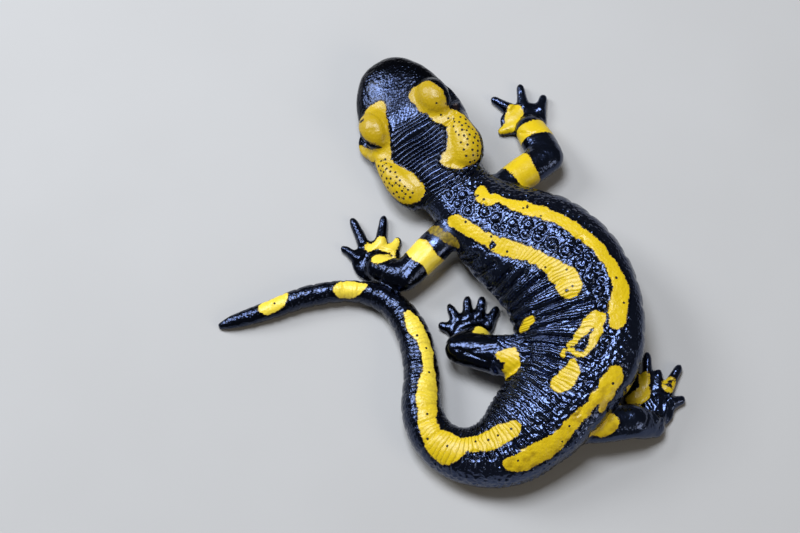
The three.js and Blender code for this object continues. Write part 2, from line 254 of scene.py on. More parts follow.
# Gland behind the eye: a, b, c, half-width, half-height.
GLAND = np.array([
    [18.2, 9.0, 0.9, 0.5, 0.5], [19.5, 8.8, 1.2, 1.8, 1.7], [23.0, 8.2, 1.5, 2.7, 2.7],
    [26.6, 7.5, 1.6, 3.3, 3.0], [29.6, 6.7, 1.4, 3.2, 2.8], [31.4, 6.3, 1.2, 2.1, 1.9],
    [32.0, 6.2, 1.1, 0.8, 0.7]])
CHEEK = {"a": 15.2, "b": 9.6, "c": -0.9, "long": 3.4, "wide": 2.5, "high": 2.0}
SIDES = {"left": 1, "right": -1}
SKULL_POWER = 0.86  # of the skull's oval; below 1 it is squarer
GLAND_SHIFT = 0.9  # mm: how far back the left gland's end lies, and how far forward the right's
FULLER_RIGHT, FLATTER_RIGHT = 0.3, 1.2  # mm more for the right gland, less for the right cheek
print("head: %.1f mm long, %.1f mm wide" % (SKULL[-1, 0], 2 * SKULL[:, 1].max()))

# %% Head shells


def skull_surface(place, turn):
    """Oval section of the skull: half-width across, top above and bottom below the axis."""
    row = row_at(SKULL, place)
    up, side = (signed_power(part, SKULL_POWER) for part in (np.cos(turn), np.sin(turn)))
    return from_head(np.column_stack([row[:, 0], row[:, 1] * side,
                                      up * np.where(up > 0, row[:, 2], -row[:, 3])]))


def gland_surface(place, turn, side):
    """Kidney-shaped gland: ovals along its own curved row. The left one lies further back, the
    right one is fuller behind."""
    row = row_at(GLAND, place)
    row[:, 1:4:2] += FULLER_RIGHT * (side < 0) * smoothstep(22, 27, row[:, :1])
    shift = side * GLAND_SHIFT * (row[:, 0] - 18) / 14
    return from_head(np.column_stack([row[:, 0] + shift,
                                      side * row[:, 1] + row[:, 3] * np.sin(turn),
                                      row[:, 2] + row[:, 4] * np.cos(turn)]))


def egg_surface(pole, turn, egg, side):
    """Egg with its long axis along the head, for the lid's dome and the swelling of the cheek."""
    return from_head(np.column_stack([
        egg["a"] - egg["long"] * np.cos(pole),
        side * egg["b"] + egg["wide"] * np.sin(pole) * np.sin(turn),
        egg["c"] + egg["high"] * np.sin(pole) * np.cos(turn)]))


add_surface(skull_surface, np.linspace(0, 10, 60), 5)
for side in SIDES.values():
    add_surface(gland_surface, np.linspace(0, 6, 40), 8, side)
    cheek = {**CHEEK, "wide": CHEEK["wide"] - FLATTER_RIGHT * (side < 0)}
    for egg in (LID, cheek):
        add_surface(egg_surface, np.radians(np.linspace(4, 176, 36)), 8, egg, side)
print("head shells:", len(shells) - 1)

# %% [markdown]
# ## Limbs
# Each limb is two rounded lengths, bent at the elbow or knee, a flat hand or foot, and four
# fingers or five toes. Limbs of this animal are soft and round, so a tapered bar with domed ends
# is close to the real form before the skin is drawn over it.

# %% Measures of the limbs
# joints: root, elbow or knee, wrist or ankle as x, y, z, half-width; pad: x, y, heading, length,
# width; web: a second pad that joins the roots of the digits; digits: x, y of root and tip, the
# innermost first.
LIMBS = {
    "left arm": {
        "joints": [[0, 6.2, 5.6, 3.3], [-9.2, -3.1, 4.4, 3], [-14.4, -0.2, 2.2, 2.7]],
        "pad": [-15.4, 1.5, 118, 8.4, 8.8], "web": [-14.2, 3.3, 172, 8.6, 5.4],
        "digits": [[-11.9, 3, -10.2, 6.4], [-14, 5, -13.3, 11.3], [-17.2, 5, -19.8, 10.8],
                   [-18.1, 1.8, -21.6, 4.5]]},
    "right arm": {
        "joints": [[9.6, 14.9, 5.8, 3.1], [20.2, 23, 4.8, 3.4], [17.1, 30.4, 2.4, 3.2]],
        "pad": [16.7, 33.4, 112, 6.4, 8.2], "web": [15.4, 33.9, 24, 9.4, 5.8],
        "digits": [[13.8, 31.4, 10.9, 30.5], [13.3, 35.5, 9.5, 38.1], [15.9, 35.6, 15.3, 41.2],
                   [19.2, 34.9, 20.2, 38.7]]},
    "left leg": {
        "joints": [[14.4, -21, 6, 4.3], [2, -18.4, 4.8, 3.2], [5.6, -15, 2.2, 2.4]],
        "pad": [4, -13.5, 100, 6, 8.8], "web": [3.6, -12.6, 178, 8.8, 4.4],
        "digits": [[7.3, -12.7, 9.5, -8.5], [5.8, -11, 6.6, -6.4], [3.7, -11.2, 3.5, -6.2],
                   [1.7, -11.6, -0.1, -8], [0.8, -13.4, -1.9, -12.1]]},
    "right leg": {
        "joints": [[24, -34.6, 6, 3.6], [35.4, -33.4, 5.2, 3.4], [39.7, -33.7, 2.4, 2.3]],
        "pad": [40.2, -29.6, 84, 7.4, 7.8], "web": [37.2, -27.2, 28, 6.6, 4.2],
        "digits": [[37, -26, 36.8, -22.1], [38.9, -25.8, 39.3, -18.2], [41, -26.2, 41.3, -21.8],
                   [42.4, -26.4, 45.6, -20.8], [43.5, -28.4, 45.9, -27.7]]}}
LIMB_RISE = 0.82  # height of a limb's section for its width
MUSCLE = 0.25  # mm by which a limb swells midway
PAD = {"half_height": 1.3, "centre": 0.9, "power": 0.8}
DIGIT = {"root": 1.5, "tip": 0.8, "height": 0.85, "longer": 0.45, "thicker": 0.06}
# Width of a digit from root to tip: a little fuller before its rounded end.
DIGIT_SHAPE = ([0, 0.3, 0.55, 0.82, 0.93, 0.97, 0.99, 1],
               [1, 0.95, 0.9, 0.96, 0.8, 0.55, 0.34, 0.1])
print("digits:", sum(len(limb["digits"]) for limb in LIMBS.values()))

# %% Limb shells


def circle(sides):
    return np.linspace(0, 2 * np.pi, sides, endpoint=False)


def axis_of(start, end):
    """Both joints as arrays, the unit vector from one to the other, and the distance between."""
    start, end = np.array(start), np.array(end)
    step = end[:3] - start[:3]
    reach = np.linalg.norm(step)
    return start, end, step / reach, reach


def bar_rings(start, end, sides=40):
    """Tapered bar with domed ends: the half-width runs from one joint's to the other's and swells
    midway, and past each joint it closes as a circle does."""
    start, end, along, reach = axis_of(start, end)
    side = np.cross([0, 0, 1], along)
    side /= np.linalg.norm(side)
    over = np.cross(along, side)
    dome = np.radians(np.linspace(88, 8, 9))
    share = np.linspace(0, 1, 16)
    place = np.r_[-np.sin(dome) * start[3], share * reach, reach + np.sin(dome[::-1]) * end[3]]
    width = np.r_[np.cos(dome) * start[3],
                  start[3] + (end[3] - start[3]) * share + MUSCLE * np.sin(np.pi * share),
                  np.cos(dome[::-1]) * end[3]]
    turn = circle(sides)
    ring = np.cos(turn)[:, None] * side + LIMB_RISE * np.sin(turn)[:, None] * over
    return start[:3] + place[:, None, None] * along + width[:, None, None] * ring


def pad_rings(pad, sides=36):
    """Low pad: ellipses along its heading that widen and narrow again as a blunt oval."""
    x, y, heading, length, width = pad
    heading = math.radians(heading)
    pole = np.radians(np.linspace(4, 176, 28))[:, None]
    turn = circle(sides)
    along, swell = -np.cos(pole) * length / 2 + 0 * turn, np.sin(pole) ** PAD["power"]
    across = np.cos(turn) * swell * width / 2
    return np.stack([x + math.cos(heading) * along - math.sin(heading) * across,
                     y + math.sin(heading) * along + math.cos(heading) * across,
                     PAD["centre"] + np.sin(turn) * swell * PAD["half_height"]], 2)


def digit_rings(places, sides=20):
    """Finger or toe: a low bar that tapers from root to tip, a little longer than its line."""
    start, tip = np.array(places[:2]), np.array(places[2:])
    reach = np.linalg.norm(tip - start)
    course = (tip - start) / reach
    reach += DIGIT["longer"]
    share = np.r_[np.linspace(0, 0.82, 12), 0.88, 0.93, 0.97, 0.99, 1]
    half = DIGIT["root"] + (DIGIT["tip"] - DIGIT["root"]) * share
    half *= np.interp(share, *DIGIT_SHAPE)
    turn = circle(sides)
    flat = start + (share * reach)[:, None, None] * course
    flat = flat + (half[:, None] * np.cos(turn))[:, :, None] * np.array([-course[1], course[0]])
    height = DIGIT["height"] + (half[:, None] + DIGIT["thicker"]) * np.sin(turn)
    return np.concatenate([flat, height[:, :, None]], 2)


for limb in LIMBS.values():
    root, bend, end = limb["joints"]
    add_shell(bar_rings(root, bend))
    add_shell(bar_rings(bend, end))
    add_shell(pad_rings(limb["pad"]))
    add_shell(pad_rings(limb["web"]))
    for places in limb["digits"]:
        add_shell(digit_rings(places))
print("shells in all:", len(shells))

# %% [markdown]
# ## One skin
# Real skin has no seam between head, trunk and limbs. The shells are poured into one fine voxel
# grid, which keeps only the outside of the whole, and the surface that comes back is smoothed:
# hollow places, such as armpits and the bases of the digits, are filled as skin stretches there,
# while raised places keep their height. Soles and belly are pressed flat on the floor.

# %% Fusing the shells
VOXEL = 0.27  # mm


def make_mesh(name, points, faces):
    mesh = bpy.data.meshes.new(name)
    mesh.vertices.add(len(points))
    mesh.vertices.foreach_set("co", np.asarray(points, np.float32).ravel())
    mesh.loops.add(faces.size)
    mesh.loops.foreach_set("vertex_index", faces.astype(np.int32).ravel())
    mesh.polygons.add(len(faces))
    starts = np.arange(0, faces.size, faces.shape[1], dtype=np.int32)
    mesh.polygons.foreach_set("loop_start", starts)
    mesh.update(calc_edges=True)
    return mesh


def arrays_of(mesh):
    """Vertices, and the faces as triangles, of a mesh."""
    mesh.calc_loop_triangles()
    points = np.empty(len(mesh.vertices) * 3, np.float32)
    mesh.vertices.foreach_get("co", points)
    tris = np.empty(len(mesh.loop_triangles) * 3, np.int32)
    mesh.loop_triangles.foreach_get("vertices", tris)
    return points.reshape(-1, 3).astype(float), tris.reshape(-1, 3)


def with_modifier(points, faces, kind, free=None, **settings):
    """The mesh after one modifier with these settings, free to act on these points only."""
    mesh = make_mesh("rough", points, faces)
    rough = bpy.data.objects.new("rough", mesh)
    bpy.context.scene.collection.objects.link(rough)
    modifier = rough.modifiers.new(kind.lower(), kind)
    if free is not None:
        rough.vertex_groups.new(name="free").add(np.flatnonzero(free).tolist(), 1.0, "REPLACE")
        modifier.vertex_group = "free"
    for key, value in settings.items():
        setattr(modifier, key, value)
    graph = bpy.context.evaluated_depsgraph_get()
    done = bpy.data.meshes.new_from_object(rough.evaluated_get(graph))
    result = arrays_of(done)
    bpy.data.objects.remove(rough)
    bpy.data.meshes.remove(mesh)
    bpy.data.meshes.remove(done)
    return result


offsets = np.cumsum([0] + [len(points) for points, _ in shells[:-1]])
all_points = np.concatenate([points for points, _ in shells])
all_tris = np.concatenate([tris + o for (_, tris), o in zip(shells, offsets)])
skin, tris = with_modifier(all_points, all_tris, "REMESH", mode="VOXEL", voxel_size=VOXEL)
print("fused:", len(skin), "points,", len(tris), "triangles")

# %% [markdown]
# ## Smoothing
# The fused surface still shows the steps of its voxels. They are evened out first; then hollows
# are filled little by little, which makes webs and soft folds where one part runs into the next.
# A plain smooth modifier would wear the fingers and the rims of the glands away as well.

# %% Smoothing the skin


def normals_of(points, tris):
    """Unit normal of each vertex: the sum of its triangles' area vectors, made one long."""
    corner = points[tris]
    area = np.cross(corner[:, 1] - corner[:, 0], corner[:, 2] - corner[:, 0])
    total = np.stack([np.bincount(tris.ravel(), np.repeat(area[:, k], 3), len(points))
                      for k in range(3)], 1)
    return total / np.maximum(np.linalg.norm(total, axis=1, keepdims=True), 1e-12)


def edges_of(tris):
    pairs = np.sort(np.concatenate([tris[:, [0, 1]], tris[:, [1, 2]], tris[:, [2, 0]]]), axis=1)
    return np.unique(pairs, axis=0)


def pull_of(points, edges):
    """Vector from each vertex to the mean of its neighbours."""
    one, two = edges.T
    number = np.bincount(edges.ravel(), minlength=len(points))
    total = np.stack([np.bincount(one, points[two, k], len(points))
                      + np.bincount(two, points[one, k], len(points)) for k in range(3)], 1)
    return total / number[:, None] - points


def even_out(points, edges, times):
    """Steps taken out without shrinking: half the way to the neighbours' mean, and back again."""
    for _ in range(times):
        points += 0.5 * pull_of(points, edges)
        points -= 0.51 * pull_of(points, edges)


FILLED, KEPT = 0.55, 0.06  # part of the way to the neighbours' mean, in hollows and elsewhere
edges = edges_of(tris)
even_out(skin, edges, 4)
for _ in range(26):
    pull = pull_of(skin, edges)
    hollow = np.einsum("ij,ij->i", pull, normals_of(skin, tris)) > 0
    skin += pull * np.where(hollow, FILLED, KEPT)[:, None]
even_out(skin, edges, 3)
skin[:, 2] = np.maximum(skin[:, 2], 0)
print("smoothed; lowest point %.2f mm" % skin[:, 2].min())

# %% [markdown]
# ## Where each point of the skin is
# Folds and markings follow the animal, not the world, so every point of the skin learns its place
# on it: the nearest station of the body, how far across it lies from the middle line, its place in
# the head frame, and which limb it belongs to, if any.

# %% Places on the body
CHUNK = 8000  # points looked at together, to spare memory


def body_places(points):
    """Station and distance across, from the nearest sample of the middle line in plan: first
    among every tenth sample, then among those round it."""
    flat = points[:, None, :2].astype(np.float32)
    coarse = middle[::10, :2].astype(np.float32)
    first = np.concatenate([((flat[k:k + CHUNK] - coarse) ** 2).sum(2).argmin(1)
                            for k in range(0, len(points), CHUNK)]) * 10
    tries = np.clip(first[:, None] + np.arange(-10, 11), 0, len(stations) - 1)
    fine = ((flat - middle[tries, :2]) ** 2).sum(2).argmin(1)
    station = stations[tries[np.arange(len(points)), fine]]
    row = row_at(BODY, station)
    return station, ((points[:, :2] - row[:, :2]) * across_at(station)).sum(1)


print("samples of the middle line:", len(stations))

# %% Places on the limbs
HAND = {"pad": 4.2, "web": 3.6}  # mm round the middle of each that count as hand or foot
FINGER = {"height": 0.7, "root": 0.95, "tip": 0.7}


def bar_distance(points, start, end):
    """Distance to the axis of a bar less its half-width there, the place along the bar, and the
    place to its left."""
    start, end, along, reach = axis_of(start, end)
    place = (points - start[:3]) @ along
    share = np.clip(place / reach, 0, 1)
    near = start[:3] + along * (share * reach)[:, None]
    gap = (points - near) / [1, 1, LIMB_RISE]
    left = (points - start[:3]) @ np.cross([0, 0, 1], along)
    return np.linalg.norm(gap, axis=1) - (start[3] + (end[3] - start[3]) * share), place, left


def hand_distance(points, limb):
    """Distance to the hand or foot: the least of those to its pad, its web and its digits."""
    gaps = [np.hypot(points[:, 0] - limb[part][0], points[:, 1] - limb[part][1]) - radius
            for part, radius in HAND.items()]
    for digit in limb["digits"]:
        root, tip = ([*digit[k:k + 2], FINGER["height"], FINGER[end]]
                     for k, end in ((0, "root"), (2, "tip")))
        gaps.append(bar_distance(points, root, tip)[0])
    return np.min(gaps, axis=0)


print("hands and feet reach, in mm:", HAND)

# %% All places of the skin


class Places:
    """Everything that folds and markings ask about a set of points of the skin."""

    def __init__(self, points):
        self.station, self.across = body_places(points)
        self.height = row_at(BODY, self.station)[:, 3]
        self.head = to_head(points)
        self.limb = {}
        for name, limb in LIMBS.items():
            parts = self.limb[name] = {"hand": hand_distance(points, limb)}
            for part, ends in (("upper", limb["joints"][:2]), ("lower", limb["joints"][1:])):
                parts[part], parts[part + " along"], parts[part + " left"] = bar_distance(
                    points, *ends)
        self.limb_gap = np.min([parts[part] for parts in self.limb.values()
                                for part in ("upper", "lower", "hand")], axis=0)


places = Places(skin)
print("stations %.1f to %.1f" % (places.station.min(), places.station.max()))

# %% [markdown]
# ## Lattice noise
# Skin is never even. A value for every knot of a lattice, mixed smoothly between the knots, gives
# a soft random field that is the same each time the script runs.

# %% Noise
KNOTS = 4096  # random values; the three numbers of a knot are stirred into the number of one


def noise(points, cell, seed):
    """Value between -1 and 1: random values at the eight knots round each point, blended."""
    table = np.random.default_rng(seed).uniform(-1, 1, KNOTS)
    place = points / cell
    knot = np.floor(place).astype(np.int64)
    t = place - knot
    t = t * t * (3 - 2 * t)
    total = np.zeros(len(points))
    for k in np.ndindex(2, 2, 2):
        x, y, z = (knot + np.array(k)).T
        value = table[(x * 73 + y * 179 + z * 283 + (x * y) * 7 + (y * z) * 13) % KNOTS]
        weight = np.prod(np.where(np.array(k) == 1, t, 1 - t), axis=1)
        total += value * weight
    return total


print("noise from %.2f to %.2f" % (noise(skin, 1.5, 1).min(), noise(skin, 1.5, 1).max()))

# %% [markdown]
# ## Spots on the skin
# Rings, folds and markings are measured from above, as a place along and across the body or the
# head. To find that place on the skin, the highest point of the skin there is looked up, straight
# down for the body and the limbs, and along the head's own axis for the head.

# %% Finding spots


def highest(flat, height, spots, reach=0.35):
    """For each spot, the number of the highest point of those within reach in the flat
    directions, or of the nearest if there is none."""
    found = []
    for spot in np.atleast_2d(spots):
        gap = ((flat - spot) ** 2).sum(1)
        near = np.flatnonzero(gap < reach ** 2)
        found.append(near[height[near].argmax()] if len(near) else gap.argmin())
    return np.array(found)


def on_plan(points, spots):
    return points[highest(points[:, :2], points[:, 2], np.array(spots)[:, :2])]


def on_body(points, spots):
    """Places given as station and distance across, looked up from above."""
    spots = np.atleast_2d(np.array(spots, float))
    row, across = row_at(BODY, spots[:, 0]), across_at(spots[:, 0])
    return on_plan(points, row[:, :2] + across * spots[:, 1:2])


def on_head(points, spots):
    """Places given as a and b, looked up along the head's c."""
    head = to_head(points)
    return points[highest(head[:, :2], head[:, 2], np.array(spots)[:, :2])]


print("crown of the head at", on_head(skin, [(14, 0)]).round(1)[0])

# %% Chains and spacing
FAR = 2.5  # mm: distances are worked out up to here


def chain_distance(points, centres, widths=0):
    """Distance to the nearest of the tapered rods between neighbouring centres, less the rod's
    half-width there: below zero inside, above zero outside."""
    widths = np.broadcast_to(widths, len(centres))
    best = np.full(len(points), FAR)
    for k in range(max(len(centres) - 1, 1)):
        after = min(k + 1, len(centres) - 1)
        start, step = centres[k], centres[after] - centres[k]
        reach = FAR + max(widths[k], widths[after])
        low = np.minimum(start, centres[after]) - reach
        high = np.maximum(start, centres[after]) + reach
        near = np.flatnonzero(((points > low) & (points < high)).all(1))
        part = points[near] - start
        share = np.clip(part @ step / max(step @ step, 1e-9), 0, 1)
        gap = np.linalg.norm(part - share[:, None] * step, axis=1)
        best[near] = np.minimum(best[near], gap - widths[k] - (widths[after] - widths[k]) * share)
    return best


def chain_gap(points, rows, look_up):
    """Distance to the edge of a chain whose rows are two measures and a half-width. Three more
    rows between each pair, on a smooth curve, let it bend with the skin."""
    rows = np.array(rows, float)
    if len(rows) > 1:
        rows = row_at(rows, np.linspace(0, len(rows) - 1, 4 * (len(rows) - 1) + 1))
    return chain_distance(points, look_up(points, rows[:, :2]), rows[:, 2])


def spaced(spots, pitch):
    """The spots in turn, each kept if none kept before it is closer than the pitch."""
    kept = np.full((len(spots), 3), 1e3)
    count = 0
    for spot in spots:
        if count == 0 or ((kept[:count] - spot) ** 2).sum(1).min() > pitch ** 2:
            kept[count] = spot
            count += 1
    return kept[:count]


snout_gap = chain_distance(skin, on_head(skin, [(0, 0)]))
print("points within 2 mm of the snout tip:", (snout_gap < 2).sum())

# %% [markdown]
# ## Yellow markings, by measure
# The yellow of a fire salamander lies in patches over the lids, the glands behind the eyes, the
# roots of the limbs and in two broken bands down the back. A texture of noise would put patches
# anywhere, so each is laid out as a chain of discs on the skin. What is kept on the skin is the
# distance to the patch's edge in mm, which stays sharp however coarse the points are.

# %% Chains of the back and tail
# Station, distance across (+ is the animal's right), half-width.
BACK_CHAINS = [
    [(2.8, 2.4, 1), (3.1, 1.3, 1.5), (3.4, 1.1, 1.3), (3.6, 2.2, 1), (3.8, 3.1, 0.7),
     (4.2, 3.2, 0.9), (4.5, 3.5, 1.2), (4.9, 4.2, 1.4), (5.4, 4.9, 1.4), (5.8, 5.5, 1.3),
     (6.4, 6.5, 1.4), (6.7, 7.3, 1.4), (7, 7.8, 1.3), (7.3, 8.2, 1.3), (7.5, 8.6, 1.4),
     (7.8, 8.8, 1.7), (8, 8.1, 1.8), (8.3, 7.3, 1.9), (8.5, 7, 1.6)],
    [(2.9, -6.2, 1.3), (3.4, -5.9, 1.5), (4, -5.6, 1.3), (4.6, -5.5, 1.4), (5.1, -5.1, 1.7),
     (5.5, -4.5, 1.7), (6, -3.6, 1.4), (6.5, -2.7, 1.5), (7, -2, 2), (7.3, -1.1, 2.5),
     (7.5, -1, 2.3), (7.65, -1.2, 1.4)],
    [(9.4, 8.4, 1.4), (9.6, 8.3, 2), (9.9, 8.1, 1.6), (10, 8.7, 1), (10.1, 9.3, 0.9)],
    [(9.9, 8.1, 1.2), (10, 7, 1), (10.2, 7.2, 1), (10.5, 6.6, 1.2), (10.9, 6.6, 1.4),
     (11.3, 6.5, 1.8), (11.5, 6.1, 2), (11.8, 5.5, 2.1), (12.1, 5, 1.6), (12.2, 4.4, 0.9)],
    [(11.7, -1.2, 1.5), (12.1, -1.6, 2.1), (12.5, -1.3, 2), (12.9, -1.1, 1.6), (13.2, -0.9, 1.4),
     (13.5, 0.7, 2.4), (13.7, 1.2, 3.2), (14, 1.3, 2.3), (14.4, 0.4, 1.9), (14.8, -0.7, 1.9),
     (15.3, -1.3, 2.3), (15.7, -1.4, 1.8), (16, -1.7, 1.2), (16.4, -1.7, 1.4), (16.7, -1.3, 1.5),
     (17, -0.8, 1.8), (17.3, -0.9, 1.1)],
    [(20.5, -1.5, 0.8), (20.7, -0.6, 1.7), (21, -0.1, 1.7)],
    [(19.3, 0.6, 1.5), (19.1, 0.6, 2), (18.8, -0.6, 0.8), (18.7, -1.2, 0.3)],
    [(8.4, 3.9, 0.9), (8.45, 2.1, 1.5), (8.6, 0.9, 1.15), (8.85, -0.6, 0.85), (9.05, -1.5, 0.6),
     (9.2, -2.2, 0.4)],
    [(8.5, 3.6, 1), (8.75, 2.8, 0.9), (8.9, 2.5, 0.75), (9.1, 2, 0.65), (9.25, 1.7, 0.4)],
    [(9.2, -2.2, 0.4), (9.3, -1, 0.5), (9.35, 0.3, 0.5), (9.3, 1.2, 0.4), (9.25, 1.7, 0.4)],
    [(9.5, -2.5, 0.5), (9.4, -2.6, 0.5), (9.3, -2.1, 0.2)],
    [(9.6, 0, 1), (9.8, 0.5, 1.5), (10, 0.2, 1.9), (10.2, -0.2, 1.9)],
    [(8.42, -11.7, 0.55), (8.33, -11, 0.95), (8.22, -9.9, 1), (8.16, -9.3, 0.6)]]
BACK_HOLES = [(4.8, -5.8, 0.7), (7.6, -2, 0.35), (4.9, 4.3, 0.25), (3, 0.6, 0.25)]
print("chains of the back and tail:", len(BACK_CHAINS), " holes:", len(BACK_HOLES))

# %% Chains of the head
# a, b, half-width in the head frame.
HEAD_CHAINS = [
    [(11.9, -4.3, 1.9), (13.6, -5.4, 2.9), (15.2, -6.3, 2.7), (16.6, -6.3, 2.5), (18, -6.2, 2.1),
     (19.2, -6.9, 1.8), (20.6, -8.5, 1.9), (22.4, -8.7, 2.6), (24.4, -8.6, 3.2), (26.6, -7.7, 3.6),
     (28.2, -6.5, 3.5), (28.1, -4.2, 2.2), (27.9, -3.2, 1.3)],
    [(27, -8, 3.3), (28.6, -7.8, 3), (29.4, -7.6, 2.5)],
    [(11.9, -4.1, 1.8), (13.6, -4.6, 2.5), (15.3, -4.7, 2.4), (16.9, -5.5, 1.6)],
    [(10.1, 3.9, 1.2), (11.4, 5, 2.2), (13.2, 6.3, 3.2), (15.2, 6.6, 3), (17, 6.9, 2.4),
     (18.4, 7.4, 1.7), (19.6, 8, 1.7), (20.6, 9.2, 1.6), (22.4, 9.3, 2.2), (24.6, 8.8, 2.8),
     (26.8, 8.2, 3.3), (28.8, 7.5, 3.4), (30.2, 6.8, 2.5), (30.6, 5.6, 2)],
    [(10.5, 4.2, 1.8), (10.3, 6, 1.9), (10.9, 7.6, 2.2), (13, 8, 2.3)],
    [(14, 11.6, 0.5), (15.4, 11.4, 1.1), (16.8, 11, 1.3), (17.8, 10.4, 1.3), (19, 9.3, 1.1)]]
# Black behind the left eye, and at its front corner.
EYE_CORNERS = [
    [(13.6, 10.9, 0.3), (15, 10.4, 0.38), (16.4, 9.8, 0.38), (17.6, 8.9, 0.35), (18.2, 8.2, 0.3)],
    [(11.2, 8.9, 0.2), (11.5, 8.3, 0.25)]]
print("chains of the head:", len(HEAD_CHAINS), " slits:", len(EYE_CORNERS))

# %% Chains of the limbs
# x, y, half-width on the plan, under the limb and its members that a chain may colour.
LIMB_CHAINS = {
    ("left arm", "hand", "lower"): [
        [(-16.5, 4.2, 1), (-15.6, 4.4, 0.8), (-14.1, 5.1, 1.35), (-12.9, 4.1, 0.9)],
        [(-12.9, 4.1, 0.9), (-11.2, 4.9, 1.15), (-11, 5.9, 0.9)],
        [(-12.4, 4, 0.8), (-11.2, 2.8, 0.6)],
        [(-14.5, 1.3, 1.6), (-13.5, 1.6, 1.75), (-12.3, 1.9, 1.45), (-11.3, 1.9, 0.6)]],
    ("right arm", "hand", "lower"): [
        [(10.7, 30.2, 0.8), (12.4, 30.9, 1.3), (12.9, 32.3, 1.2), (13.6, 34, 1.75),
         (13.9, 35, 1.5)]],
    ("left leg", "upper"): [
        [(8.6, -21, 0.35), (9.8, -21.4, 1.1), (11.2, -21.3, 1.5), (11.9, -22.8, 1.3),
         (11.2, -24.4, 1.4)],
        [(11.2, -24.3, 1.2), (12.3, -25.6, 0.4)],
        [(11.3, -20.9, 1.1), (12.2, -19.7, 0.35)],
        [(11, -24.4, 1.1), (10.1, -25.3, 0.5)]],
    ("left leg", "hand", "lower"): [
        [(4.9, -15, 0.6), (6.1, -13.9, 1.15), (7.6, -14.2, 0.85), (8.3, -14.6, 0.5)]],
    ("right leg", "upper"): [
        [(25.9, -37.6, 0.4), (27.3, -36.8, 1.2), (29.1, -35.8, 1.9), (30.6, -34.8, 1.8)],
        [(28.6, -35.6, 1.2), (30.4, -34, 1.2)]],
    ("right leg", "hand"): [
        [(38.2, -22.9, 1.15), (38.2, -24.4, 1.1), (37.8, -25.3, 0.8), (38, -27, 1.5),
         (36.6, -27.6, 1.4), (35.2, -28.1, 1), (34.2, -28.5, 0.5)],
        [(42.9, -24.9, 1.6), (43.4, -24.4, 1.4)]]}
MEMBER_REACH = 0.9  # mm from a member within which its chain still colours
# Bands round a limb: limb, member, near and far end in mm from its first joint, and how much
# further each lies for every mm to the left.
LIMB_BANDS = [("left arm", "upper", 5.3, 9.6, 0, 0), ("right arm", "upper", 4, 9.1, 0, 0.18),
              ("right arm", "lower", 4.5, 8.4, 0.25, 0)]
# Yellow on the left shoulder, painted darker as shade where it lies between arm and flank: x, y,
# half-width.
SHOULDER = [(-5, 7, 0.6), (-3.4, 6, 1), (-1.8, 5, 1.25), (0, 3.6, 1.2), (1.4, 2.3, 0.8)]
print("chains of the limbs:", sum(map(len, LIMB_CHAINS.values())), " bands:", len(LIMB_BANDS))

# %% Distance to the yellow


def marking_distance(points, here):
    """Distance to the edge of the yellow, below zero inside it. Chains are joined, holes are cut
    from them, and the edge wavers a little."""
    edge = np.full(len(points), FAR)
    for chain in BACK_CHAINS:
        edge = np.minimum(edge, chain_gap(points, chain, on_body))
    for *spot, radius in BACK_HOLES:
        hole = np.linalg.norm(points - on_body(points, [spot]), axis=1)
        edge = np.maximum(edge, radius - hole)
    for chain in HEAD_CHAINS:
        edge = np.minimum(edge, chain_gap(points, chain, on_head))
    for slit in EYE_CORNERS:
        edge = np.maximum(edge, -chain_gap(points, slit, on_head))
    for (limb, *members), limb_chains in LIMB_CHAINS.items():
        member_gap = np.min([here.limb[limb][member] for member in members], axis=0)
        for chain in limb_chains:
            gap = np.maximum(chain_gap(points, chain, on_plan), member_gap - MEMBER_REACH)
            edge = np.minimum(edge, gap)
    shoulder = chain_gap(points, SHOULDER, on_plan)
    edge = np.minimum(edge, shoulder + 0.5 * np.abs(noise(points, 0.9, 34)))
    for limb, member, near, far, near_slope, far_slope in LIMB_BANDS:
        along = here.limb[limb][member + " along"] + 0.4 * noise(points, 2.5, 31)
        left = here.limb[limb][member + " left"]
        gap = np.maximum(near + near_slope * left - along, along - far - far_slope * left)
        edge = np.minimum(edge, np.maximum(gap, here.limb[limb][member] - 1.0))
    return edge + 0.13 * noise(points, 1.1, 32) + 0.1 * noise(points, 0.5, 33)


edge = marking_distance(skin, places)
print("yellow: %.0f%% of the points" % (100 * (edge < 0).mean()))

# %% [markdown]
# ## Folds and glands of the trunk
# Between the limbs the ribs show as costal grooves, which crowd together on the inside of a bend.
# Along the middle of the back sit the poison glands, each a low ring round a pit. They could be
# painted as bump only, but the light catches them from every side, so the skin itself is moved.

# %% Measures of the trunk's relief
# Costal grooves on the inner side of the bend: station and turn at the low and at the high end.
GROOVES = [
    (4.1, -88, 4.5, -62), (4.8, -92, 5.15, -55), (5.4, -95, 5.7, -50), (6, -100, 6.3, -45),
    (6.7, -105, 6.85, -30), (7.4, -105, 7.3, -25), (7.95, -105, 7.75, -16), (8.4, -105, 8, -8),
    (8.65, -105, 8.4, -12), (8.75, -105, 8.95, -22), (9.4, -105, 9.2, -24), (9.9, -105, 9.6, -24),
    (10.3, -105, 10.05, -24)]
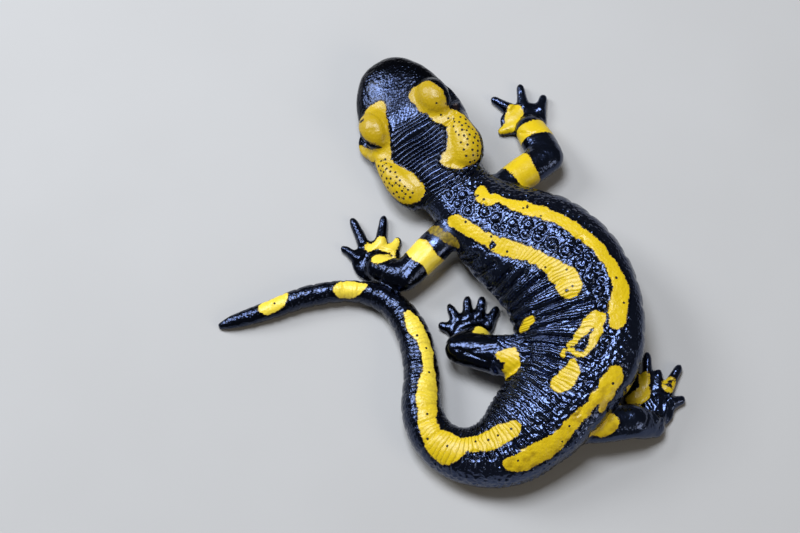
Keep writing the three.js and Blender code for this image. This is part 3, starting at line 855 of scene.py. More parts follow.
# Glands along the back: station, distance across, radius of the moat round each.
BACK_GLANDS = [
    (1.7, -2.1, 0.6), (2, -3.3, 0.85), (2.4, -1.4, 1.1), (2.6, -3.5, 0.95), (2.9, -1.3, 0.6),
    (3.1, -3.1, 0.95), (3.4, 0.3, 0.6), (3.7, -1.4, 0.95), (4.2, -0.8, 1.3), (4.4, -2.4, 0.65),
    (4.7, -2.2, 0.65), (4.85, 0.1, 1.05), (5.1, -1.2, 0.9), (5.3, 1.3, 1.25), (5.4, -0.8, 0.9),
    (5.7, 2.2, 1.2), (5.8, 0.1, 0.95), (6.2, 1.2, 1.35), (6.6, 2, 1.4), (6.6, 5.5, 0.8),
    (6.75, 4.2, 0.95), (7, 5, 0.85), (7.1, 2.9, 1.3), (7.3, 5.7, 0.85), (7.45, 3.5, 1.35),
    (7.6, 5.3, 0.8), (7.8, 3.9, 1.35), (8.2, 4.2, 1.15), (8.9, 5, 1.1), (9.2, 4.2, 0.8),
    (9.9, 4.9, 1), (10.5, 5.2, 1), (11.1, 4.1, 0.9), (11.8, 2.3, 0.9), (12.5, 1.8, 0.8),
    (12.9, 1.6, 0.8)]
# Heights and depths of the relief, in mm.
RIB, GROOVE, STRETCHED_GROOVE = 0.22, 0.55, 0.26
GLAND_RING, GLAND_PIT, GLAND_MOAT = 0.46, 0.5, 0.36
HIP_WRINKLE, TAIL_RING = 0.13, 0.16
WRINKLE_PITCH, RING_PITCH, GRAIN_PITCH = 1.45, 3.1, 1.1  # mm from one to the next
print("grooves:", len(GROOVES), " glands:", len(BACK_GLANDS))

# %% Glands of the back


def furrow(points, path, depth, width):
    """Groove along a path on the skin, deepest on the path; below zero, a ridge."""
    return -depth * bell(chain_distance(points, path), width)


def packed_grains(points, here, edge, glands, radii):
    """Points of the skin drawn at random along the back, clear of the glands and spaced by the
    pitch of the grains, and a strength for each."""
    rng = np.random.default_rng(3)
    inside = (here.station > 1.4) & (here.station < 13.8) & (edge > 0.5) & (points[:, 2] > 4)
    inside &= (here.across > -6 + 0.4 * np.abs(here.station - 7)) & (here.across < 9.5)
    for limb in here.limb.values():
        inside &= limb["upper"] > 1.0
    tries = points[rng.permutation(np.flatnonzero(inside))[:6000]]
    clear = (np.linalg.norm(glands - tries[:, None], axis=2) > radii + 0.5).all(1)
    grains = spaced(tries[clear], GRAIN_PITCH)
    return grains, rng.uniform(0.4, 1.0, len(grains))


def near_each(points, centres, reach):
    """For each centre, the numbers of the points within reach and their distances to it."""
    order = np.argsort(points[:, 0])
    ranked = points[order, 0]
    for centre in centres:
        slab = order[slice(*np.searchsorted(ranked, [centre[0] - reach, centre[0] + reach]))]
        gap = np.linalg.norm(points[slab] - centre, axis=1)
        yield slab[gap < reach], gap[gap < reach]


def gland_relief(points, here, edge):
    """Each gland is a ring with a pit in the middle and a narrow moat outside; between them lie
    small grains without a pit."""
    glands, radii = on_body(points, np.array(BACK_GLANDS)[:, :2]), np.array(BACK_GLANDS)[:, 2]
    relief = np.zeros(len(points))
    for (near, r), radius in zip(near_each(points, glands, 2.2), radii):
        relief[near] += GLAND_RING * bell(r, 0.66 * radius) - GLAND_PIT * bell(r, 0.2 * radius) \
            - GLAND_MOAT * bell(r - radius, 0.26)
    grains, strengths = packed_grains(points, here, edge, glands, radii)
    for (near, r), strength in zip(near_each(points, grains, 1.2), strengths):
        relief[near] += strength * (0.18 * bell(r, 0.36) - 0.07 * bell(r - 0.62, 0.18))
    print("grains:", len(grains))
    return relief


glands_part = gland_relief(skin, places, edge)
print("glands from %.2f to %.2f mm" % (glands_part.min(), glands_part.max()))

# %% Relief of the trunk and tail


def trunk_relief(points, here, edge, glands):
    """Grooves and ribs on the inner side of the bend, stretched grooves on the outer side, the
    glands, wrinkles over the hips, and the rings of the tail."""
    relief = np.zeros(len(points))
    gap = np.full(len(points), FAR)
    share = np.linspace(0, 1, 9)
    for u0, turn0, u1, turn1 in GROOVES:
        path = body_surface(u0 + (u1 - u0) * share, np.radians(turn0 + (turn1 - turn0) * share))
        gap = np.minimum(gap, chain_distance(points, path))
    waver = gap + 0.12 * noise(points, 1.3, 8)
    relief += RIB * smoothstep(0.1, 1.2, waver) * smoothstep(FAR, 1.6, gap) \
        - GROOVE * bell(waver, 0.42)
    relief *= 0.25 + 0.75 * smoothstep(-0.3, 0.9, edge)  # the yellow lies smooth over the grooves
    share = np.linspace(0, 1, 7)
    for u0 in np.arange(5.4, 10.6, 0.47):
        path = body_surface(u0 - 0.1 * share, np.radians(112 - 62 * share))
        relief += furrow(points, path, STRETCHED_GROOVE, 0.65)
    relief += glands
    arc = np.interp(here.station, stations, run)
    fine = np.cos(2 * np.pi * (arc + 0.7 * noise(points, 2.2, 5)) / WRINKLE_PITCH)
    fine *= (0.3 + 0.7 * smoothstep(0, 0.6, edge)) * smoothstep(6, 3, here.across)
    relief += HIP_WRINKLE * fine * smoothstep(8.8, 9.6, here.station) \
        * smoothstep(13.4, 12.9, here.station)
    ring = np.cos(2 * np.pi * (arc + 0.5 * noise(points, 4.0, 6)) / RING_PITCH)
    relief -= TAIL_RING * np.maximum(-ring, 0) ** 3 * smoothstep(13.2, 14, here.station) \
        * smoothstep(22.3, 20, here.station)
    return relief


body_part = trunk_relief(skin, places, edge, glands_part)
print("trunk relief from %.2f to %.2f mm" % (body_part.min(), body_part.max()))

# %% [markdown]
# ## Folds of the head and neck
# The skin between the glands lies in fine folds across the neck. The mouth is a long, nearly
# level line, the nostrils are two pits close to the snout tip, and a fold crosses the throat. The
# lids stand up as domes with their own margin, and a crease parts each lid from its gland.

# %% Measures of the head's relief
# Creases: a and b of their points, depth and width in mm. The first two part the lids from their
# glands, the next is the back corner of the left eye, the last runs along the left brow.
HEAD_CREASES = [
    ([(19.2, 10.4), (20.4, 8.6), (22.2, 6.8)], 0.32, 0.3),
    ([(19.6, -9.5), (20.3, -8), (21, -6.5)], 0.32, 0.3),
    ([(13.8, 10.8), (15.2, 10.3), (16.5, 9.7), (17.7, 8.7)], 0.45, 0.34),
    ([(10.6, 5.6), (12.4, 4.6), (14.6, 4.4), (16.6, 5), (17.8, 6)], 0.2, 0.45)]
NOSTRIL = {"a": 1.35, "b": 2.3, "c": 0.95, "depth": 0.4, "width": 0.36}
MOUTH = {"end": 19.5, "depth": 0.34, "lip": 0.1}
THROAT_FOLD, NECK_FOLD = 0.4, 0.3  # mm
NECK_PITCH, TRUNK_PITCH = 0.98, 0.85  # mm from one fold to the next
# Strength of the fine folds of the trunk, by station.
TRUNK_FOLDS = ([3.6, 5.5, 7, 9, 12, 13.4, 14.5, 20, 22], [0, 0.35, 0.8, 1, 1, 0.9, 0.4, 0.25, 0])
print("creases of the head:", len(HEAD_CREASES))

# %% Fine folds


def fold_phase(points, here, edge):
    """Fine folds across the animal: how many folds lie between the point and the snout, and how
    strong they are. On the neck they follow a of the head frame, behind it the middle line."""
    a, b, c = here.head.T
    warp = 0.75 * noise(np.column_stack([a, b * 0.3, c * 0.5]), 2.3, 11) \
        + 0.02 * b ** 2 * np.sign(-b)
    neck = smoothstep(14.5, 20, a) * smoothstep(35.5, 32, a) * smoothstep(-0.5, 1.0, c)
    neck *= smoothstep(9.5, 7.5, np.abs(b)) * smoothstep(0.0, 0.8, edge)
    neck *= 0.85 + 0.15 * noise(points, 3.0, 12)
    arc = np.interp(here.station, stations, run) + 0.45 * noise(points, 1.9, 13)
    trunk = np.interp(here.station, *TRUNK_FOLDS)
    trunk *= 0.7 + 0.3 * noise(points, 2.6, 14)
    off_pelvis = smoothstep(4, 0, here.across - 1.2 * (here.station > 10))
    trunk *= np.where(here.station < 13.2, off_pelvis, 1)
    behind = a > 34
    return (np.where(behind, arc / TRUNK_PITCH, (a + warp) / NECK_PITCH),
            np.where(behind, trunk, neck))


print("folds on the neck: about %.0f" % ((34 - 15) / NECK_PITCH))

# %% Relief of the head


def head_relief(points, here, edge):
    """Folds of the neck, the line of the mouth with its lip, the fold of the throat, nostrils and
    creases."""
    a, b, c = here.head.T
    relief = np.zeros(len(points))
    on_skull = smoothstep(34, 31, a) * smoothstep(14, 12.5, np.abs(b))
    phase, amount = fold_phase(points, here, edge)
    relief += NECK_FOLD * (2 * np.abs(np.sin(np.pi * phase)) ** 0.7 - 1) * amount * (a < 34)
    share = np.clip(a / MOUTH["end"], 0, 1)
    line = -0.9 - 0.7 * share + 0.25 * np.sin(np.pi * share)
    relief -= MOUTH["depth"] * bell(c - line, 0.22) * smoothstep(20.2, 18.8, a) * on_skull
    relief += MOUTH["lip"] * bell(c - line + 0.8, 0.6) * smoothstep(20.2, 17, a) * on_skull
    throat = smoothstep(-1.5, -3, c) * bell(a - 27 - 0.03 * b ** 2, 0.5)
    relief -= THROAT_FOLD * throat * smoothstep(13, 10, np.abs(b))
    for side in SIDES.values():
        nostril = from_head([NOSTRIL["a"], side * NOSTRIL["b"], NOSTRIL["c"]])
        gap = np.linalg.norm(points - nostril, axis=1)
        relief -= NOSTRIL["depth"] * bell(gap, NOSTRIL["width"])
    for path, depth, width in HEAD_CREASES:
        relief += furrow(points, on_head(points, path), depth, width)
    return relief


head_part = head_relief(skin, places, edge)
print("head relief from %.2f to %.2f mm" % (head_part.min(), head_part.max()))

# %% [markdown]
# ## Creases of the limbs
# Limbs fold where they bend: across the wrist, above the knee and over each knuckle. The back of
# the hind foot spreads in low ridges, one to each of the long toes.

# %% Relief of the limbs
LIMB_CREASES = [[(-15.4, 3.5), (-14.2, 4), (-13.2, 3.9), (-12, 3), (-11.2, 1.9)],
                [(1.2, -19.6), (3.7, -20.8), (6.6, -22.1)],
                [(14.6, 28.8), (16.8, 27.9), (19.4, 28.6)],
                [(37.6, -35.2), (38.4, -33.2), (38.2, -31.4)]]
FOOT_RIDGES = [[(40.6, -33.6), (37.9, -28.6)], [(40.8, -33.6), (39.3, -27.6)],
               [(41, -33.6), (41, -27.2)], [(41.2, -33.6), (43, -27.6)]]
KNUCKLES = (0.3, 0.62)  # places along a digit


def limb_relief(points, here):
    """Creases of the joints, ridges of the right hind foot, and a slight nick at each knuckle."""
    relief = np.zeros(len(points))
    for crease in LIMB_CREASES:
        relief += furrow(points, on_plan(points, crease), 0.3, 0.3)
    for start, end in np.array(FOOT_RIDGES):
        fine = start + np.linspace(0.15, 1, 6)[:, None] * (end - start)
        relief += furrow(points, on_plan(points, fine), -0.4, 0.5)
    for limb in LIMBS.values():
        for digit in limb["digits"]:
            root, tip = np.array(digit[:2]), np.array(digit[2:])
            for share in KNUCKLES:
                knuckle = np.array([*(root + share * (tip - root)), 1.4])
                relief -= 0.07 * bell(np.linalg.norm(points - knuckle, axis=1), 0.35)
    return relief


limb_part = limb_relief(skin, places)
print("limb relief from %.2f to %.2f mm" % (limb_part.min(), limb_part.max()))

# %% [markdown]
# ## Lids round the eyes
# The eye looks sideways out of an almond-shaped opening. Rather than cut a hole, which would
# leave a raw edge, the skin inside the almond is drawn in behind the eyeball, and the margin just
# outside it is laid close over the ball, so the lids have thickness and the skin stays closed.

# %% Opening the lids
OPENING = {"a": 13.8, "c": 1.9, "long": 2.25, "high": 1.35}
BEHIND, MARGIN, RIM_SWELL = 0.6, 0.28, 0.16  # mm


def ball_side(a, c):
    """How far out the eyeball's surface lies, at a and c of the head frame."""
    inside = EYE["radius"] ** 2 - (a - EYE["a"]) ** 2 - (c - EYE["c"]) ** 2
    return EYE["b"] + np.sqrt(np.maximum(inside, 0.3))


def open_lids(points):
    """Inside the almond the skin goes behind the ball, at its margin it stands a little before
    it, and further out it eases back to where it was."""
    head = to_head(points)
    for side in SIDES.values():
        a, out, c = head[:, 0], side * head[:, 1], head[:, 2]
        along = a - OPENING["a"]
        ring = np.hypot(along / OPENING["long"],
                        (c - OPENING["c"]) / (OPENING["high"] * (1 - 0.25 * (along / 3) ** 2)))
        near = (out > 6.5) & (ring < 2)
        ball = ball_side(a, c)
        new = out + (np.minimum(out, ball + MARGIN) - out) * smoothstep(1.9, 1.15, ring)
        new += RIM_SWELL * bell(ring - 1.17, 0.12)
        sunk = ball - BEHIND * smoothstep(1.0, 0.88, ring) + MARGIN * smoothstep(0.9, 1.0, ring)
        new = np.where(ring < 1, np.minimum(new, sunk), new)
        head[near, 1] = side * new[near]
    return from_head(head)


print("openings: %.1f by %.1f mm" % (2 * OPENING["long"], 2 * OPENING["high"]))

# %% Moving the skin
TRIANGLES = 194000  # of the finished skin
broad = 0.05 * noise(skin, 2.2, 21) + 0.035 * noise(skin, 0.9, 22)
off_floor = smoothstep(0.15, 1.0, skin[:, 2])
move = (body_part + head_part + limb_part + broad) * off_floor
skin = open_lids(skin + normals_of(skin, tris) * move[:, None])
skin[:, 2] = np.maximum(skin[:, 2], 0)
a, b, c = places.head.T
pored = (edge < 0.3) & (a > 19) & (a < 32.5) & (c > -2) & (np.abs(b) < 14)  # stays fine
skin, tris = with_modifier(skin, tris, "DECIMATE", ~pored, ratio=min(1, TRIANGLES / len(tris)))
skin[:, 2] = np.maximum(skin[:, 2], 0)
places = Places(skin)
print("skin:", len(skin), "points,", len(tris), "triangles")

# %% [markdown]
# ## Pores
# The glands behind the eyes open in rows of dark pores, which is where the poison comes out. A few
# more are scattered on the yellow of the back and tail. Each point of the skin keeps the vector to
# its nearest pore, so that the material can draw round dots much finer than the mesh.

# %% Laying out the pores
edge = marking_distance(skin, places)
PORE_PITCH, BACK_PITCH = 0.93, 1.7  # mm: no two pores are closer, on the head and on the back
PORE_REACH, BACK_REACH = 0.47, 0.85  # mm: a point further off belongs to no pore
NO_PORE = -0.6


def gland_pores(points, side, rng):
    """Points drawn at random from the middle and the outer side of a gland, and spaced by the
    pitch, which spreads them as evenly as living pores are."""
    a, b, c = places.head.T
    out = side * b - np.interp(a - side * 0.5, GLAND[:, 0], GLAND[:, 1])
    inside = (edge < -0.45) & (a > 20.6) & (a < 31) & (c > -0.6) & (side * b > 0)
    inside &= out > np.interp(a, [20, 23, 27, 31], [-1.2, -0.9, -0.5, -0.3])
    return spaced(points[rng.permutation(np.flatnonzero(inside))[:2500]], PORE_PITCH)


rng = np.random.default_rng(7)
pores = [gland_pores(skin, side, rng) for side in SIDES.values()]
print("pores on the two glands:", [len(group) for group in pores])
LID_PORES = [(17, -6.7), (17.6, -6.3), (11.4, 8.2), (18.9, -6.3), (19.9, -7.6), (18.4, 7.6)]
pores = spaced(np.concatenate([*pores, on_head(skin, LID_PORES)]), PORE_PITCH * 0.98)
on_head_count = len(pores)
spots = []
for chain in BACK_CHAINS[:6]:
    rows = np.array([row for row in chain if row[2] > 1.3])
    rows = rows[rng.uniform(size=len(rows)) > 0.25]
    spots.append(rows[:, :2] + rng.uniform(-0.5, 0.5, (len(rows), 2)) * [0.2, 1] * rows[:, 2:])
pores = np.concatenate([pores, spaced(on_body(skin, np.concatenate(spots)), BACK_PITCH)])
sizes = rng.uniform(0.21, 0.28, len(pores))
flat_skin, flat_pores = skin[:, None].astype(np.float32), pores.astype(np.float32)
nearest = np.concatenate([((flat_skin[k:k + CHUNK] - flat_pores) ** 2).sum(2).argmin(1)
                          for k in range(0, len(skin), CHUNK)])
to_pore = skin - pores[nearest]
reach = np.where(nearest < on_head_count, PORE_REACH, BACK_REACH)
pore_size = np.where(np.linalg.norm(to_pore, axis=1) < reach, sizes[nearest], NO_PORE)
print("pores:", len(pores), " points near one: %.1f%%" % (100 * (pore_size > 0).mean()))

# %% [markdown]
# ## What the material reads
# Colour and wetness change from part to part: the tail is paler, the lids deeper, the belly dull
# and the hips wettest. Each change is kept on the points of the skin as a number from 0 to 1, next
# to the distance to the yellow and the count of folds. The material could find such places by
# itself only from the world's axes, which do not bend with the animal.

# %% Shown pieces


def add_values(piece, values):
    """Named numbers or vectors, one for each point of the piece."""
    for name, value in values.items():
        value = np.asarray(value, np.float32)
        kind, field = ("FLOAT", "value") if value.ndim == 1 else ("FLOAT_VECTOR", "vector")
        piece.data.attributes.new(name, kind, "POINT").data.foreach_set(field, value.ravel())


def add_object(name, points, faces):
    """Shown piece from plan points in mm: moved to the frame, in metres, smooth, and riding on
    the one body."""
    mesh = make_mesh(name, (points + PLAN_SHIFT) * MM, faces)
    mesh.polygons.foreach_set("use_smooth", np.ones(len(faces), bool))
    piece = bpy.data.objects.new(name, mesh)
    bpy.context.scene.collection.objects.link(piece)
    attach(piece, "root")
    return piece


print("shift from the plan to the frame, in mm:", PLAN_SHIFT)

# %% Tones and wetness
SCAR = [(17.2, -9.9), (18.4, -9.9)]  # a bare brownish spot outside the right lid, in a and b
SNOUT_GLINT = (6.8, 1.6)  # centre of a painted highlight on the snout, where the black is made to reflect more, in a and b
# Strength of the black's reflection, along the head by a and along the body by station.
HEAD_GLOSS = ([0, 4, 10, 16, 24, 34], [0.28, 0.36, 0.45, 0.58, 0.72, 0.85])
BODY_GLOSS = ([8, 10, 12.8, 16], [0.85, 1, 0.95, 0.42])


def deep_of(points, here):
    """Where the yellow is deepest: on the lids, less so over the head, and in smudges on the
    right stripe of the pelvis."""
    a, b, c = here.head.T
    lid = smoothstep(19.5, 17, a) * smoothstep(9, 11, a) * smoothstep(1.5, 3.2, c)
    smudge = smoothstep(0.0, 0.45, noise(points, 0.9, 36)) * smoothstep(9.3, 9.8, here.station) \
        * smoothstep(12.8, 12.0, here.station) * smoothstep(3.0, 4.5, here.across)
    head = 0.65 * smoothstep(34, 31, a) * (np.abs(b) < 13)
    return np.max([lid * (np.abs(b) < 12), smudge, head], axis=0)


def gloss_and_glint_of(here):
    """How strongly the black reflects: by the two tables, and less on the limbs; raised as a
    painted highlight on the snout and as a painted sheen on the inner flank."""
    a, b, _ = here.head.T
    gloss_and_glint = np.where((a < 34) & (np.abs(b) < 13), np.interp(a, *HEAD_GLOSS),
                     np.interp(here.station, *BODY_GLOSS))
    from_glint = np.hypot(a - SNOUT_GLINT[0], b - SNOUT_GLINT[1])
    gloss_and_glint *= np.where(a < 13, 0.42 + 1.1 * bell(from_glint, 2.8), 1)
    gloss_and_glint += 0.15 * smoothstep(-3, -6, here.across) * (here.station < 12) * (a > 36)
    return gloss_and_glint * (1 - 0.15 * smoothstep(1.2, 0.4, here.limb_gap))


def socket_shade_of(here):
    """One inside the almonds of the eyes, where the skin behind the ball is painted near black, as
    shade.
    """
    a, b, c = here.head.T
    ring = np.hypot((a - OPENING["a"]) / OPENING["long"], (c - OPENING["c"]) / OPENING["high"])
    return smoothstep(1.12, 0.98, ring) * (np.abs(b) > 6.5)


def ringed_of(points):
    """One on the glands of the back, which keep a calmer grain."""
    ringed = np.zeros(len(points))
    for near, r in near_each(points, on_body(points, np.array(BACK_GLANDS)[:, :2]), 1.6):
        ringed[near] = np.maximum(ringed[near], bell(r, 1.0))
    return ringed


gloss_and_glint = gloss_and_glint_of(places)
print("gloss from %.2f to %.2f" % (gloss_and_glint.min(), gloss_and_glint.max()))

# %% Skin object
skin_piece = add_object("skin", skin, tris)
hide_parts(*FLESH)
phase, amount = fold_phase(skin, places, edge)
amount = amount * smoothstep(0.0, 1.2, places.limb_gap)
calm = np.max([0.6 * smoothstep(1.2, 0.4, places.limb_gap), 0.8 * ringed_of(skin), 0.8 * amount],
              axis=0)
belly = smoothstep(0.42, 0.12, (skin[:, 2] - 0.3) / places.height) * (places.head[:, 0] > 20) \
    * smoothstep(0.6, 1.4, places.limb_gap)
scar_gap = chain_distance(skin, on_head(skin, SCAR))
add_values(skin_piece, {
    "yellow": edge, "fold": phase, "fold_amount": amount, "calm": calm, "belly": belly,
    "shoulder_shade": bell(np.maximum(chain_gap(skin, SHOULDER, on_plan), 0), 0.5),
    "deep": deep_of(skin, places), "bare": smoothstep(0.9, 0.3, scar_gap),
    "pale": smoothstep(13.8, 16.5, places.station), "gloss_and_glint": gloss_and_glint,
    "socket": socket_shade_of(places), "pore": to_pore, "pore_size": pore_size})
print("skin piece has", len(skin_piece.data.attributes), "attributes")

# %% [markdown]
# ## Eyes
# A fire salamander's eye is large, round and nearly black, with a dark brown iris. It is built as
# a ball whose front bulges as the cornea does, so that it carries its own bright reflection.

# %% Eyeballs
BALL = {"radius": 2.46, "bulge": 0.22, "spread": math.radians(38)}
GAZE = {"forward": 0.16, "up": 0.2}  # for each mm out


def eyeball(side):
    """Ball with a bulge in a bell round the optical axis, which points out, a little forward and
    up; and the angle from that axis, ring by ring."""
    axis = np.array([-GAZE["forward"], side, GAZE["up"]])
    axis /= np.linalg.norm(axis)
    up = np.cross(axis, [1, 0, 0])
    up /= np.linalg.norm(up)
    pole, turn, fold = grid(np.radians(np.linspace(2, 178, 60)), np.radians(np.arange(0, 360, 6)))
    radius = BALL["radius"] + BALL["bulge"] * bell(pole, BALL["spread"])
    ring = np.cos(turn)[:, None] * up + np.sin(turn)[:, None] * np.cross(axis, up)
    local = radius[:, None] * (np.cos(pole)[:, None] * axis + np.sin(pole)[:, None] * ring)
    centre = np.array([EYE["a"], side * EYE["b"], EYE["c"]])
    return from_head(centre + local).reshape(fold), pole


eye_pieces = []
for name, side in SIDES.items():
    rings, pole = eyeball(side)
    add_shell(rings)
    points, faces = shells.pop()
    piece = add_object("eyeball_" + name, points, faces)
    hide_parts("eye_" + name)
    add_values(piece, {"pole": np.r_[pole, 0, math.pi]})
    eye_pieces.append(piece)
print("eyes:", [piece.name for piece in eye_pieces])

# %% [markdown]
# ## Shared effects
# Two effects are shared by the skin's colours: a leathery grain, which is what gives amphibian
# skin its small broken glints, and a slow mottling. Both are node groups that read the place on
# the animal in mm, so they lie still on the skin from every side.

# %% Node helpers


class Value:
    """Output of a node. The signs + - and * make maths nodes of it and a number or a Value."""

    def __init__(self, socket):
        self.socket, self.tree = socket, socket.id_data

    def maths(self, operation, *others):
        return node(self.tree, "ShaderNodeMath", enumerate((self, *others)), operation=operation)

    def __add__(self, other):
        return self.maths("ADD", other)

    def __sub__(self, other):
        return self.maths("SUBTRACT", other)

    def __mul__(self, other):
        return self.maths("MULTIPLY", other)


def feed(sockets, inputs):
    """Each input, by name or number, gets its Value by a link or its constant directly."""
    for key, value in dict(inputs).items():
        if isinstance(value, Value):
            value.tree.links.new(value.socket, sockets[key])
        else:
            sockets[key].default_value = value


def node(tree, kind, inputs=(), output=0, **settings):
    """New node with these settings and inputs; what comes back is the output asked for."""
    made = tree.nodes.new(kind)
    for key, value in settings.items():
        setattr(made, key, value)
    feed(made.inputs, inputs)
    return Value(made.outputs[output])


def between(value, low, high, to_low=0.0, to_high=1.0):
    """The value stretched smoothly from low..high to to_low..to_high, and held at the ends."""
    inputs = {"Value": value, "From Min": low, "From Max": high, "To Min": to_low,
              "To Max": to_high}
    return node(value.tree, "ShaderNodeMapRange", inputs, "Result",
                interpolation_type="SMOOTHSTEP")


def mix(mask, one, two):
    """The first colour where the mask is 0, the second where it is 1."""
    return node(mask.tree, "ShaderNodeMix", {0: mask, 6: one, 7: two}, 2, data_type="RGBA")


def new_group(name, output):
    """Group that makes one number of a place and a size: its tree, the place times the size, and
    the sockets of its output."""
    tree = bpy.data.node_groups.new(name, "ShaderNodeTree")
    for label, direction, kind in (("Place", "INPUT", "Vector"), ("Size", "INPUT", "Float"),
                                   (output, "OUTPUT", "Float")):
        tree.interface.new_socket(label, in_out=direction, socket_type="NodeSocket" + kind)
    given = tree.nodes.new("NodeGroupInput").outputs
    scaled = node(tree, "ShaderNodeVectorMath",
                  {0: Value(given["Place"]), "Scale": Value(given["Size"])}, operation="SCALE")
    return tree, scaled, tree.nodes.new("NodeGroupOutput").inputs


def use_group(group, place, size):
    return node(place.tree, "ShaderNodeGroup", {"Place": place, "Size": size}, node_tree=group)


print("node groups so far:", len(bpy.data.node_groups))

# %% Grain and mottling
grain, cells, result = new_group("leathery_grain", "Height")
pebbles = node(grain, "ShaderNodeTexVoronoi", {"Vector": cells, "Scale": 1.0, "Smoothness": 0.35},
               "Distance", feature="SMOOTH_F1")
bumps = node(grain, "ShaderNodeTexNoise",
             {"Vector": cells, "Scale": 0.8, "Detail": 1.5, "Roughness": 0.6}, "Fac")
feed(result, {"Height": between(pebbles, 0.1, 0.75, 1.0, 0.0) * 0.5 + bumps})

mottle, cells, result = new_group("slow_mottling", "Amount")
cloud = node(mottle, "ShaderNodeTexNoise",
             {"Vector": cells, "Scale": 1.0, "Detail": 3.0, "Roughness": 0.55}, "Fac")
feed(result, {"Amount": between(cloud, 0.32, 0.68)})
print("groups:", [group.name for group in bpy.data.node_groups])

# %% [markdown]
# ## Wet skin
# A wet black skin shines like a dark bluish mirror, while the yellow beside it, full of pigment,
# keeps its own colour and shines little. A strong clear coat over both would whiten the yellow, so
# the black reflects with a dark blue of its own, as metals do, and the yellow is plain. The
# distance to the edge picks between them, with a thin brown rim where the pigments meet, and only
# a weak clear coat lies over all.

# %% Colours of the skin
YELLOW = (0.65, 0.43, 0.004, 1)
YELLOW_SPECK = (0.73, 0.52, 0.010, 1)
YELLOW_DEEP = (0.38, 0.235, 0.003, 1)
YELLOW_TAIL = (0.84, 0.62, 0.05, 1)
# painted shade: the yellow on the left shoulder, darkened where it lies between arm and flank
YELLOW_SHADED = (0.13, 0.088, 0.008, 1)
# painted shade in the valleys of the fine folds
FOLD_SHADE = (0.10, 0.06, 0.006, 1)
BLACK = (0.040, 0.053, 0.102, 1)  # the tint of its reflection
BLACK_PALE = (0.058, 0.077, 0.138, 1)
BLACK_DRY = (0.004, 0.004, 0.005, 1)
BELLY = (0.014, 0.014, 0.016, 1)
RIM = (0.10, 0.055, 0.008, 1)
BARE = (0.16, 0.09, 0.075, 1)
PORE = (0.02, 0.010, 0.004, 1)
# painted shade: the skin in the recess behind each eyeball
SOCKET_SHADE = (0.008, 0.007, 0.007, 1)
print("yellow is %.0f times as bright as the black" % (YELLOW[0] / BLACK[0]))

# %% New materials


def new_material(name):
    """Material with one Principled shader: the material, its tree, the shader's inputs, and the
    place on the object in mm."""
    material = bpy.data.materials.new(name)
    material.use_nodes = True
    tree = material.node_tree
    tree.nodes.clear()
    output = tree.nodes.new("ShaderNodeOutputMaterial")
    shader = tree.nodes.new("ShaderNodeBsdfPrincipled")
    tree.links.new(shader.outputs[0], output.inputs["Surface"])
    place = node(tree, "ShaderNodeVectorMath",
                 {0: node(tree, "ShaderNodeTexCoord", output="Object"), "Scale": 1 / MM},
                 operation="SCALE")
    return material, tree, shader.inputs, place


def value_of(tree, name, output="Fac"):
    return node(tree, "ShaderNodeAttribute", (), output, attribute_name=name,
                attribute_type="GEOMETRY")


skin_material, tree, shader, place = new_material("wet_skin")
print("made", skin_material.name, "with", len(tree.nodes), "nodes")

# %% Masks and colour of the skin
own = {name: value_of(tree, name) for name in (
    "yellow", "fold", "fold_amount", "calm", "belly", "shoulder_shade", "deep", "bare", "pale", "gloss_and_glint",
    "socket", "pore_size")}
blotch, speckle = use_group(mottle, place, 0.28), use_group(mottle, place, 1.6)
edge_value = own["yellow"] + (use_group(mottle, place, 2.4) - 0.5) * 0.24
inside = between(edge_value, 0.05, -0.1)
dark = between(edge_value, -0.02, 0.10)

yellow = mix(speckle * 0.4, YELLOW, YELLOW_SPECK)
# The shoulder's yellow is mixed towards a darker yellow as painted shade between arm and flank.
for mask, tone in ((own["pale"], YELLOW_TAIL), (own["deep"] * 0.8, YELLOW_DEEP),
                   (blotch * 0.15, YELLOW_DEEP),
                   (own["shoulder_shade"] * between(speckle, 0.0, 1.0, 0.75, 1.0), YELLOW_SHADED)):
    yellow = mix(mask, yellow, tone)
# Partly the skin's wetness, partly painted highlight: the black reflects more at the snout's glint
# and on the inner flank.
wet_and_glint = own["gloss_and_glint"] * between(edge_value, 0.1, 0.8, 0.4, 1.0)
black = mix(wet_and_glint, BLACK_DRY, mix(blotch * 0.7, BLACK, BLACK_PALE))
black = mix(own["belly"], black, BELLY)

crest = (own["fold"] * math.pi).maths("SINE").maths("ABSOLUTE")
# The valleys between the fine folds on the yellow are painted darker, as shade in the creases.
valley_shade = between(crest, 0.4, 0.05) * own["fold_amount"] * inside
pore_length = node(tree, "ShaderNodeVectorMath", {0: value_of(tree, "pore", "Vector")}, "Value",
                   operation="LENGTH")
pore_mask = between(pore_length - own["pore_size"], -0.05, 0.05, 1.0, 0.0)
colour = mix(between(edge_value, -0.16, -0.02), yellow, RIM)
for mask, tone in ((dark, black), (valley_shade * 0.45, FOLD_SHADE), (own["bare"] * 0.8, BARE),
                   (pore_mask, PORE), (own["socket"], SOCKET_SHADE)):
    colour = mix(mask, colour, tone)
print("colour takes", len(tree.nodes), "nodes")

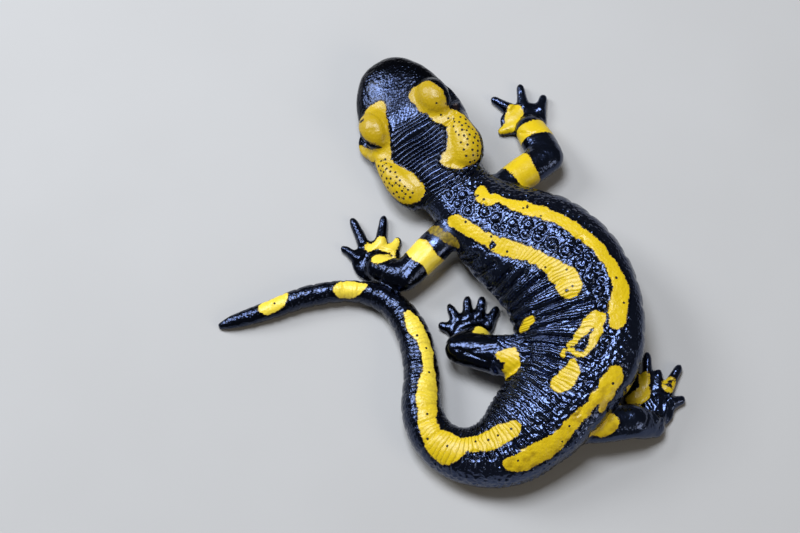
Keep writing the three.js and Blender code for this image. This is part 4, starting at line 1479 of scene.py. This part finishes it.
# %% Fine relief and the shader
# The relief too fine for the mesh, in mm: grain, calmer on the yellow and round the glands, the
# crests of the folds, and the pits of the pores.
surface = use_group(grain, place, 1.7) * 0.085 + use_group(grain, place, 0.6) * 0.07
surface = surface * between(inside, 0.0, 1.0, 1.0, 0.75) \
    * between(own["calm"], 0.0, 1.0, 1.0, 0.3)
surface = surface + crest.maths("POWER", 0.6) * own["fold_amount"] * 0.19 - pore_mask * 0.08
feed(shader, {
    "Base Color": colour,
    "Roughness": between(inside + speckle * 0.2, 0.0, 1.2, 0.19, 0.36)
    + own["shoulder_shade"] * 0.25 + pore_mask * 0.4,
    "Metallic": dark - own["belly"] * dark,
    "Coat Weight": between(use_group(mottle, place, 0.5), 0.0, 1.0, 0.05, 0.2),
    "Normal": node(tree, "ShaderNodeBump", {"Strength": 1.0, "Distance": MM, "Height": surface}),
    "Specular IOR Level": 0.32, "IOR": 1.5, "Coat Roughness": 0.16, "Coat IOR": 1.36})
skin_piece.data.materials.append(skin_material)
print("skin material has", len(tree.nodes), "nodes")

# %% [markdown]
# ## Eye
# A black pupil, a dark brown iris flecked with bronze and a black rim lie under a smooth cornea.
# They could be shapes of their own, but they are flush with one another, so the angle from the
# eye's axis is kept on the ball and the colours follow it as rings.

# %% Eye material
PUPIL = (0.002, 0.002, 0.002, 1)
IRIS = (0.012, 0.008, 0.006, 1)
BRONZE = (0.05, 0.028, 0.010, 1)
EYE_RIM = (0.006, 0.005, 0.005, 1)
PUPIL_EDGE = (math.radians(22), math.radians(25))
IRIS_EDGE = (math.radians(50), math.radians(58))
eye_material, tree, shader, place = new_material("eye")
pole = value_of(tree, "pole")
iris = mix(use_group(mottle, place, 5.0) * 0.7, IRIS, BRONZE)
colour = mix(between(pole, *PUPIL_EDGE), PUPIL, iris)
feed(shader, {"Base Color": mix(between(pole, *IRIS_EDGE), colour, EYE_RIM),
              "Roughness": 0.2, "IOR": 1.38, "Coat Weight": 1.0, "Coat Roughness": 0.02})
for piece in eye_pieces:
    piece.data.materials.append(eye_material)
print("eye material has", len(tree.nodes), "nodes")

# %% [markdown]
# ## Floor and light
# The floor is plain and pale. What makes a wet back look wet is small, sharp, bluish glints, and a
# wide light would spread them into a sheen. So the two cool lights are small: one above, a little
# to the north, and one from the west. A weaker, warmer one keeps the other flank readable.

# %% Floor
FLOOR = (0.44, 0.415, 0.38, 1)
FLOOR_PALE = (0.48, 0.455, 0.42, 1)
floor_mesh = bpy.data.meshes.new("floor")
floor_mesh.from_pydata([(-2, -2, 0), (2, -2, 0), (2, 2, 0), (-2, 2, 0)], [], [(0, 1, 2, 3)])
floor = bpy.data.objects.new("floor", floor_mesh)
floor.location.z = -0.02 * MM
bpy.context.scene.collection.objects.link(floor)
floor_material, tree, shader, place = new_material("pale_floor")
feed(shader, {"Base Color": mix(use_group(mottle, place, 0.02) * 0.3, FLOOR, FLOOR_PALE),
              "Roughness": 0.8})
floor.data.materials.append(floor_material)
print("floor at", floor.location.z, "m")

# %% Lights
# Square area lights that face the middle of the floor: place and side in metres, watts, colour.
LIGHTS = {
    "sky": ((-0.10, 0.18, 0.60), 0.26, 4.6, (0.78, 0.86, 1.0)),
    "left_fill": ((-0.50, 0.27, 0.42), 0.26, 3.4, (0.82, 0.89, 1.0)),
    "right_fill": ((0.7, -0.5, 0.5), 0.4, 1.8, (1.0, 0.92, 0.80))}
WORLD = {"colour": (0.92, 0.95, 1.0, 1), "strength": 0.09}
for name, (spot, size, power, tint) in LIGHTS.items():
    light = bpy.data.lights.new(name, "AREA")
    light.size, light.energy, light.color = size, power, tint
    lamp = bpy.data.objects.new(name, light)
    lamp.location = spot
    lamp.rotation_euler = (-Vector(spot)).to_track_quat("-Z", "Y").to_euler()
    bpy.context.scene.collection.objects.link(lamp)
world = bpy.data.worlds.new("studio")
world.use_nodes = True
background = world.node_tree.nodes["Background"]
feed(background.inputs, {0: WORLD["colour"], 1: WORLD["strength"]})
bpy.context.scene.world = world
bpy.context.scene.view_settings.view_transform = "Standard"
